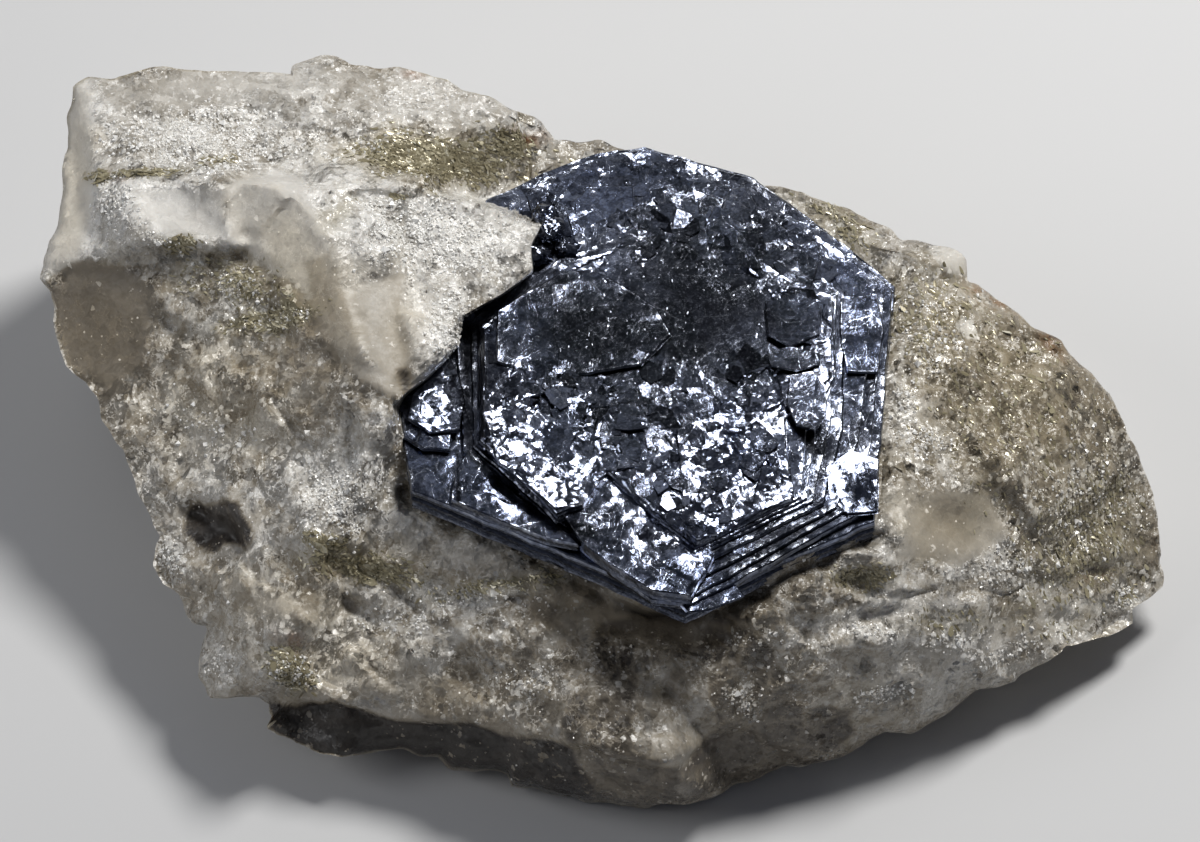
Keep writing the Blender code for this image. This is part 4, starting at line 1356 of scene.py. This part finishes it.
# Leaves and small platelets on top: name, corners, level, thickness, buckle, and the azimuth and angle of their lean.
LEAVES = (
    ("dark_leaf", ((497, 312), (528, 292), (561, 273), (592, 268), (622, 284), (655, 306), (672, 332), (640, 362),
        (590, 372), (540, 376), (497, 362)), 9.37, 0.14, 0.03, -34, 2),
    ("left_leaf", ((484, 334), (505, 322), (545, 318), (560, 350), (556, 390), (520, 400), (486, 396)), 9.34, 0.14,
        0.05, 200, 3),
    ("grey_patch", ((766, 300), (800, 292), (822, 306), (820, 334), (790, 346), (768, 334)), 9.40, 0.12, 0.02, 180,
        3),
    ("rough_oval", ((768, 352), (792, 346), (816, 352), (820, 364), (796, 370), (772, 366)), 9.42, 0.10, 0.04, 0, 0),
    ("round_plate", ((790, 374), (812, 370), (826, 386), (826, 414), (814, 430), (796, 426), (786, 404)), 9.44, 0.14,
        0.02, 0, 2),
    ("lobe_lower", ((484, 416), (520, 404), (560, 420), (596, 440), (588, 484), (580, 500), (556, 506), (500, 464)),
        9.38, 0.16, 0.09, -34, 5),
    ("striped_block", ((676, 430), (717, 414), (783, 412), (790, 497), (700, 530), (684, 505)), 9.36, 0.26, 0.07, -34,
        1),
    ("left_flap", ((411, 396), (432, 378), (458, 372), (466, 400), (460, 428), (430, 432), (408, 418)), 8.60, 0.22,
        0.09, -34, 3),
    ("left_flap_low", ((402, 412), (430, 398), (452, 414), (450, 450), (424, 448), (404, 436)), 8.38, 0.18, 0.07, -34,
        1),
    ("corner_leaf", ((824, 470), (850, 452), (878, 458), (876, 506), (846, 512), (828, 498)), 8.66, 0.14, 0.03, -34,
        12),
    ("side_leaf", ((842, 296), (878, 292), (884, 330), (878, 372), (848, 372), (840, 330)), 8.84, 0.14, 0.03, 0, 2),
    ("ribbon", ((470, 448), (500, 480), (530, 505), (560, 526), (578, 544), (545, 537), (500, 519), (452, 499),
        (456, 470)), 8.62, 0.40, 0.02, 0, 0),
    ("foot_leaf", ((562, 512), (584, 494), (608, 478), (632, 494), (664, 508), (706, 532), (714, 554), (690, 592),
        (652, 586), (612, 562), (584, 542)), 8.99, 0.50, 0.05, -110, 4),
    ("foot_flake", ((676, 600), (700, 588), (736, 584), (744, 594), (712, 607), (686, 610)), 8.30, 0.14, 0.02, 0, 0),
)
NODULES = ((552, 231, 9.25, 0.46), (537, 252, 9.2, 0.40), (566, 246, 9.2, 0.34), (545, 214, 9.05, 0.36))
# Loose flakes: across, down, half width, half height and turn of the zone, count, radius, tilt in degrees.
FLAKE_ZONES = (
    (575, 205, 60, 28, -28, 40, 0.50, 3), (690, 190, 80, 18, 14, 40, 0.55, 3), (795, 250, 50, 28, 45, 36, 0.50, 3),
    (690, 240, 84, 22, 12, 60, 0.42, 4), (700, 320, 90, 70, 0, 90, 0.26, 4), (620, 390, 90, 34, 10, 40, 0.30, 4),
    (535, 430, 40, 60, -10, 12, 0.42, 3), (640, 440, 50, 50, 0, 30, 0.34, 4), (735, 445, 40, 28, 0, 10, 0.40, 3),
    (600, 560, 44, 20, 28, 30, 0.50, 3), (700, 500, 50, 28, 0, 16, 0.36, 4), (800, 350, 20, 60, 0, 22, 0.36, 3),
    (440, 410, 22, 22, 0, 8, 0.36, 4), (505, 350, 20, 24, 0, 8, 0.36, 3),
)
FLAKE_SIDES = 6


def nodule_grid(across, down, height, radius, salt):
    """A small round lump: a sphere whose radius varies by smooth noise."""
    centre = placed(*in_view(across, down), depth_at(down, height))
    polar = np.linspace(0, math.pi, 24)[:, None]
    turn = np.linspace(0, FULL_TURN, 36, endpoint=False)[None]
    direction = np.stack([np.sin(polar) * np.cos(turn), np.sin(polar) * np.sin(turn), np.cos(polar) + 0 * turn], -1)
    where = direction + salt
    size = radius * (1 + 0.3 * facet_noise(where, 0.7, salt) + 0.15 * soft_noise(where, 0.8, salt))
    return centre + direction * size[..., None] * (1.1, 1.0, 0.7)


def stack_height(across, down):
    """Height of the crystal's top at places in the view: that of the highest plate seen there."""
    height = np.full(across.shape, BASE_TOP)
    for level, _, corners in STACK:
        height = np.where(inside_corners(across, down, corners, 2.0) > 0.5, level, height)
    relief = top_relief(placed(*in_view(across, down), depth_at(down, STACK[-1][0])))
    return np.where(height == STACK[-1][0], height + relief, height)


def loose_flakes(rng):
    """Thin six-sided flakes in all zones: corners at steps of a turn, each at its own reach, on a tilted plane."""
    places = []
    for x, y, half_width, half_height, turn, count, radius, spread in FLAKE_ZONES:
        c, s = math.cos(math.radians(turn)), math.sin(math.radians(turn))
        angle, reach = rng.uniform(0, FULL_TURN, count), np.sqrt(rng.uniform(0, 1, count))
        a, b = half_width * reach * np.cos(angle), half_height * reach * np.sin(angle)
        size = radius * rng.lognormal(0.0, 0.4, count)
        spread = np.full(count, math.radians(spread))
        places.append(np.column_stack([x + a * c - b * s, y + a * s + b * c, size, spread]))
    across, down, size, spread = np.concatenate(places).T
    keep = inside_corners(across, down, BASE_CORNERS, 2.0, -2.0 - 1.3 * size / UNIT) > 0.5
    across, down, size, spread = across[keep], down[keep], size[keep], spread[keep]
    count = len(across)
    centre = placed(*in_view(across, down), depth_at(down, stack_height(across, down) + 0.02))
    shine = patch_mask(across, down, SHINE_PATCHES, np.zeros(count))[:, None]
    glint = glint_normal()
    normal = np.column_stack([spread * rng.normal(size=count), spread * rng.normal(size=count), np.ones(count)])
    leaning = glint / glint[2] + 0.05 * rng.normal(size=(count, 3)) * (1, 1, 0)
    normal = unit(np.where(shine > 0.8, leaning, normal))
    first, second = frames_about(normal, math.radians(8) + 0.12 * rng.normal(size=count))
    turn = np.arange(FLAKE_SIDES) * FULL_TURN / FLAKE_SIDES
    reach = size[:, None] * rng.uniform(0.55, 1.35, (count, FLAKE_SIDES))
    ring = first[:, None] * (reach * np.cos(turn))[..., None]
    ring = ring + second[:, None] * (0.8 * reach * np.sin(turn))[..., None]
    half = normal[:, None] * rng.uniform(0.008, 0.022, count)[:, None, None]
    points = np.concatenate([centre[:, None] + ring + half, centre[:, None] + 1.04 * ring - half], axis=1)
    k = np.arange(FLAKE_SIDES)
    after = (k + 1) % FLAKE_SIDES
    sides = np.stack([k + FLAKE_SIDES, after + FLAKE_SIDES, after, k], axis=1)
    start = 2 * FLAKE_SIDES * np.arange(count)[:, None, None]
    faces = (start + sides).reshape(-1, 4).tolist() + (start[:, 0] + k).tolist()
    faces += (start[:, 0] + FLAKE_SIDES + k[::-1]).tolist()
    masks = metal_masks(centre, np.zeros(count))
    masks["lying"] = np.zeros(count)
    masks["foil"] *= 0.3
    # Each flake's painted shade is made stronger or weaker at random.
    masks["painted_shade"] = np.clip(masks["painted_shade"] + rng.uniform(-0.1, 0.5, count), 0, 1)
    masks["blue"] = np.clip(masks["blue"] + rng.uniform(-0.3, 0.4, count), 0, 1)
    masks = {key: np.repeat(values, 2 * FLAKE_SIDES) for key, values in masks.items()}
    return new_piece("molybdenite_flakes", points.reshape(-1, 3) + SHIFT, faces, masks, SMALL_SHARP)


# Operators

# Starting numbers of the random draws.
MICA_SEED = 5
GRAIN_SEED = 9
FLAKE_SEED = 17
SCALE_THICKNESS = 0.014


def metal_plate(name, metal, corners, level, thickness, relief, rings, salt, layers, spacing):
    """One plate of the crystal, dressed in this metal."""
    grid, groove_shade = plate_grid(corners, level, thickness, relief, rings, salt, layers, spacing)
    piece = closed_mesh(name, grid, metal_masks(grid, groove_shade, edge_of(grid, rings)), PLATE_SHARP)
    dress(piece, metal)
    return piece


class SPECIMEN_OT_quartz_lump(Operator):
    """Make the broken quartz lump that stands for the quartz solid"""

    bl_idname = "specimen.quartz_lump"
    bl_label = "Quartz lump"

    def execute(self, context):
        settings = context.scene.specimen
        grid, masks, front = lump_surface(settings.spokes)
        lump = closed_mesh("quartz_lump", grid, masks, LUMP_SHARP)
        dress(lump, quartz_material(settings))
        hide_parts("quartz_matrix")
        LUMP.update(grid=grid, masks=masks, front=front)
        return {"FINISHED"}


class SPECIMEN_OT_mica(Operator):
    """Scatter muscovite scales over the mica patches"""

    bl_idname = "specimen.mica"
    bl_label = "Mica scales"

    def execute(self, context):
        settings = context.scene.specimen
        rng = np.random.default_rng(MICA_SEED)
        masks = LUMP["masks"]
        weight = masks["mica"] ** 3 * np.where(LUMP["front"], 1.0, 0.25) * (1 - masks["seat"])
        weight[FRONT_RINGS - 4:FRONT_RINGS + 5] = 0
        centre, normal, _ = scattered(LUMP["grid"], weight, settings.mica_scales, rng)
        lean = unit(normal + 0.28 * rng.normal(size=normal.shape))
        radius = settings.scale_radius / MM * rng.lognormal(0.0, 0.4, len(centre))
        centre = inside_box(centre + 0.01 * normal, radius)
        pieces = scales("muscovite_scales", centre, lean, radius, SCALE_THICKNESS, rng)
        dress(pieces, mica_material())
        return {"FINISHED"}


class SPECIMEN_OT_grains(Operator):
    """Scatter sugary grains over the white quartz"""

    bl_idname = "specimen.grains"
    bl_label = "Quartz grains"

    def execute(self, context):
        settings = context.scene.specimen
        rng = np.random.default_rng(GRAIN_SEED)
        masks = LUMP["masks"]
        weight = (0.002 + masks["sugar"] ** 2) * (1 - np.clip(masks["glassy"], 0, 1)) * (1 - masks["seat"])
        weight = weight * np.where(LUMP["front"], 1.0, 0.3)
        weight[FRONT_RINGS - 3:FRONT_RINGS + 3] = 0
        centre, normal, picks = scattered(LUMP["grid"], weight, settings.quartz_grains, rng)
        radius = settings.grain_radius / MM * rng.lognormal(0.0, 0.35, len(centre))
        lean = unit(normal + 0.8 * rng.normal(size=normal.shape))
        # Grains take the lump's shade mask, its painted light and shade included, plus a random tone.
        tone = np.clip(1.1 * masks["shade"].ravel()[picks] + rng.normal(0.35, 0.3, len(picks)), 0, 1)
        pieces = grains("quartz_grains", inside_box(centre, radius), lean, radius, tone, rng)
        dress(pieces, grain_material())
        return {"FINISHED"}


class SPECIMEN_OT_crystal(Operator):
    """Make the crystal's base plate and the stack of plates on it"""

    bl_idname = "specimen.crystal"
    bl_label = "Crystal plates"

    def execute(self, context):
        settings = context.scene.specimen
        metal = metal_material(settings, "molybdenite", 0.14, 0.26)
        piece = metal_plate(
            "molybdenite_base", metal, BASE_CORNERS, BASE_TOP, BASE_THICKNESS, plain_relief(0.03, 201),
            BASE_RINGS, salt=205, layers=6, spacing=0.09,
        )
        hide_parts("molybdenite_crystal")
        for index, (level, thickness, corners) in enumerate(STACK):
            last = index == len(STACK) - 1
            relief = top_relief if last else plain_relief(0.02, 210 + index)
            metal_plate(
                f"molybdenite_plate_{index + 1}", metal, corners, level, thickness, relief,
                TOP_RINGS if last else PLATE_RINGS, salt=220 + index, layers=5 if last else 2,
                spacing=0.07 if last else 0.1,
            )
        return {"FINISHED"}


class SPECIMEN_OT_leaves(Operator):
    """Lay thin leaves, platelets and nodules on the crystal"""

    bl_idname = "specimen.leaves"
    bl_label = "Crystal leaves"

    def execute(self, context):
        settings = context.scene.specimen
        leaf = metal_material(settings, "molybdenite_leaf", 0.12, 0.24)
        for index, (name, corners, level, thickness, buckle, azimuth, angle) in enumerate(LEAVES):
            relief = leaning_relief(buckle, 300 + index, corners, level, azimuth, angle)
            metal_plate(
                f"molybdenite_{name}", leaf, corners, level, thickness, relief,
                PLATE_RINGS, salt=330 + index, layers=2, spacing=0.07,
            )
        for index, (across, down, height, radius) in enumerate(NODULES):
            grid = nodule_grid(across, down, height, radius, 400 + index)
            masks = metal_masks(grid, np.zeros(grid.shape[:2]))
            masks["foil"], masks["painted_shade"] = masks["foil"] + 0.7, 0.35 * masks["painted_shade"]
            dress(closed_mesh(f"molybdenite_nodule_{index + 1}", grid, masks, NODULE_SHARP), leaf)
        dress(loose_flakes(np.random.default_rng(FLAKE_SEED)), leaf)
        return {"FINISHED"}


def area_light(name, azimuth, elevation, distance, size, power, colour):
    """A soft light aimed at the specimen from an azimuth and elevation."""
    light = bpy.data.lights.new(name, "AREA")
    light.shape = "DISK"
    light.size = size * MM
    light.energy = power
    light.color = colour
    lamp = bpy.data.objects.new(name, light)
    lamp.location = (facing(azimuth, elevation) * distance + (0.0, 0.0, 6.0)) * MM
    lamp.rotation_euler = (0.0, math.radians(90 - elevation), math.radians(azimuth))
    bpy.context.scene.collection.objects.link(lamp)


CAMERA_LENS = 500.0
SENSOR_WIDTH = 36.0
FLOOR_HALF = 1500.0


class SPECIMEN_OT_stage(Operator):
    """Set the floor, the lights, the world and the camera"""

    bl_idname = "specimen.stage"
    bl_label = "Stage"

    def execute(self, context):
        settings = context.scene.specimen
        scene = context.scene
        floor, nodes, shader, place = new_material("floor")
        tone = nodes.ramp(nodes.noise(place, 60.0, 3.0), 0.3, 0.7, 0.0, 0.06)
        grey = nodes.mix(tone, (*settings.floor_colour, 1), (0.5, 0.5, 0.5, 1))
        nodes.feed(shader, {"Base Color": grey, "Roughness": 0.9})
        half = FLOOR_HALF
        corners = np.array([(-half, -half, 0), (half, -half, 0), (half, half, 0), (-half, half, 0)])
        ground = new_piece("floor", corners - (0, 0, 0.02), [(0, 1, 2, 3)], {}, 30.0)
        ground.data.materials.append(floor)

        area_light("key", KEY_AZIMUTH, KEY_ELEVATION, 130.0, 40.0, 0.17, (1.0, 0.99, 0.97))
        area_light("left_fill", 190.0, 35.0, 160.0, 80.0, 0.06, (0.97, 0.98, 1.0))
        area_light("back_fill", 100.0, 30.0, 160.0, 110.0, 0.015, (0.95, 0.97, 1.0))
        world = bpy.data.worlds.new("studio")
        world.use_nodes = True
        world.node_tree.nodes["Background"].inputs[0].default_value = (0.08, 0.085, 0.10, 1.0)
        scene.world = world

        camera = bpy.data.cameras.new("camera")
        camera.sensor_width = SENSOR_WIDTH
        camera.lens = CAMERA_LENS
        camera.clip_start = 0.01
        camera.clip_end = 10.0
        holder = bpy.data.objects.new("camera", camera)
        distance = CAMERA_LENS * VIEW_WIDTH * UNIT / SENSOR_WIDTH
        holder.location = (MIDDLE + SHIFT + TOWARD * distance) * MM
        holder.rotation_euler = (math.pi / 2 - VIEW_ELEVATION, 0.0, 0.0)
        scene.collection.objects.link(holder)
        scene.camera = holder
        scene.view_settings.view_transform = "Standard"
        return {"FINISHED"}


class SPECIMEN_PT_panel(Panel):
    """Lists the specimen's steps and settings"""

    bl_idname = "SPECIMEN_PT_panel"
    bl_label = "Specimen"
    bl_space_type = "VIEW_3D"
    bl_region_type = "UI"
    bl_category = "Specimen"

    def draw(self, context):
        for operator in STEPS:
            self.layout.operator(operator.bl_idname)
        for name in SpecimenSettings.__annotations__:
            self.layout.prop(context.scene.specimen, name)


LUMP = {}
STEPS = (
    SPECIMEN_OT_quartz_lump,
    SPECIMEN_OT_mica,
    SPECIMEN_OT_grains,
    SPECIMEN_OT_crystal,
    SPECIMEN_OT_leaves,
    SPECIMEN_OT_stage,
)
CLASSES = (SpecimenSettings, *STEPS, SPECIMEN_PT_panel)


def register():
    for cls in CLASSES:
        bpy.utils.register_class(cls)
    bpy.types.Scene.specimen = PointerProperty(type=SpecimenSettings)


def unregister():
    del bpy.types.Scene.specimen
    for cls in reversed(CLASSES):
        bpy.utils.unregister_class(cls)


def main():
    register()
    bpy.ops.specimen.quartz_lump()
    bpy.ops.specimen.mica()
    bpy.ops.specimen.grains()
    bpy.ops.specimen.crystal()
    bpy.ops.specimen.leaves()
    bpy.ops.specimen.stage()


if __name__ == "__main__":
    main()
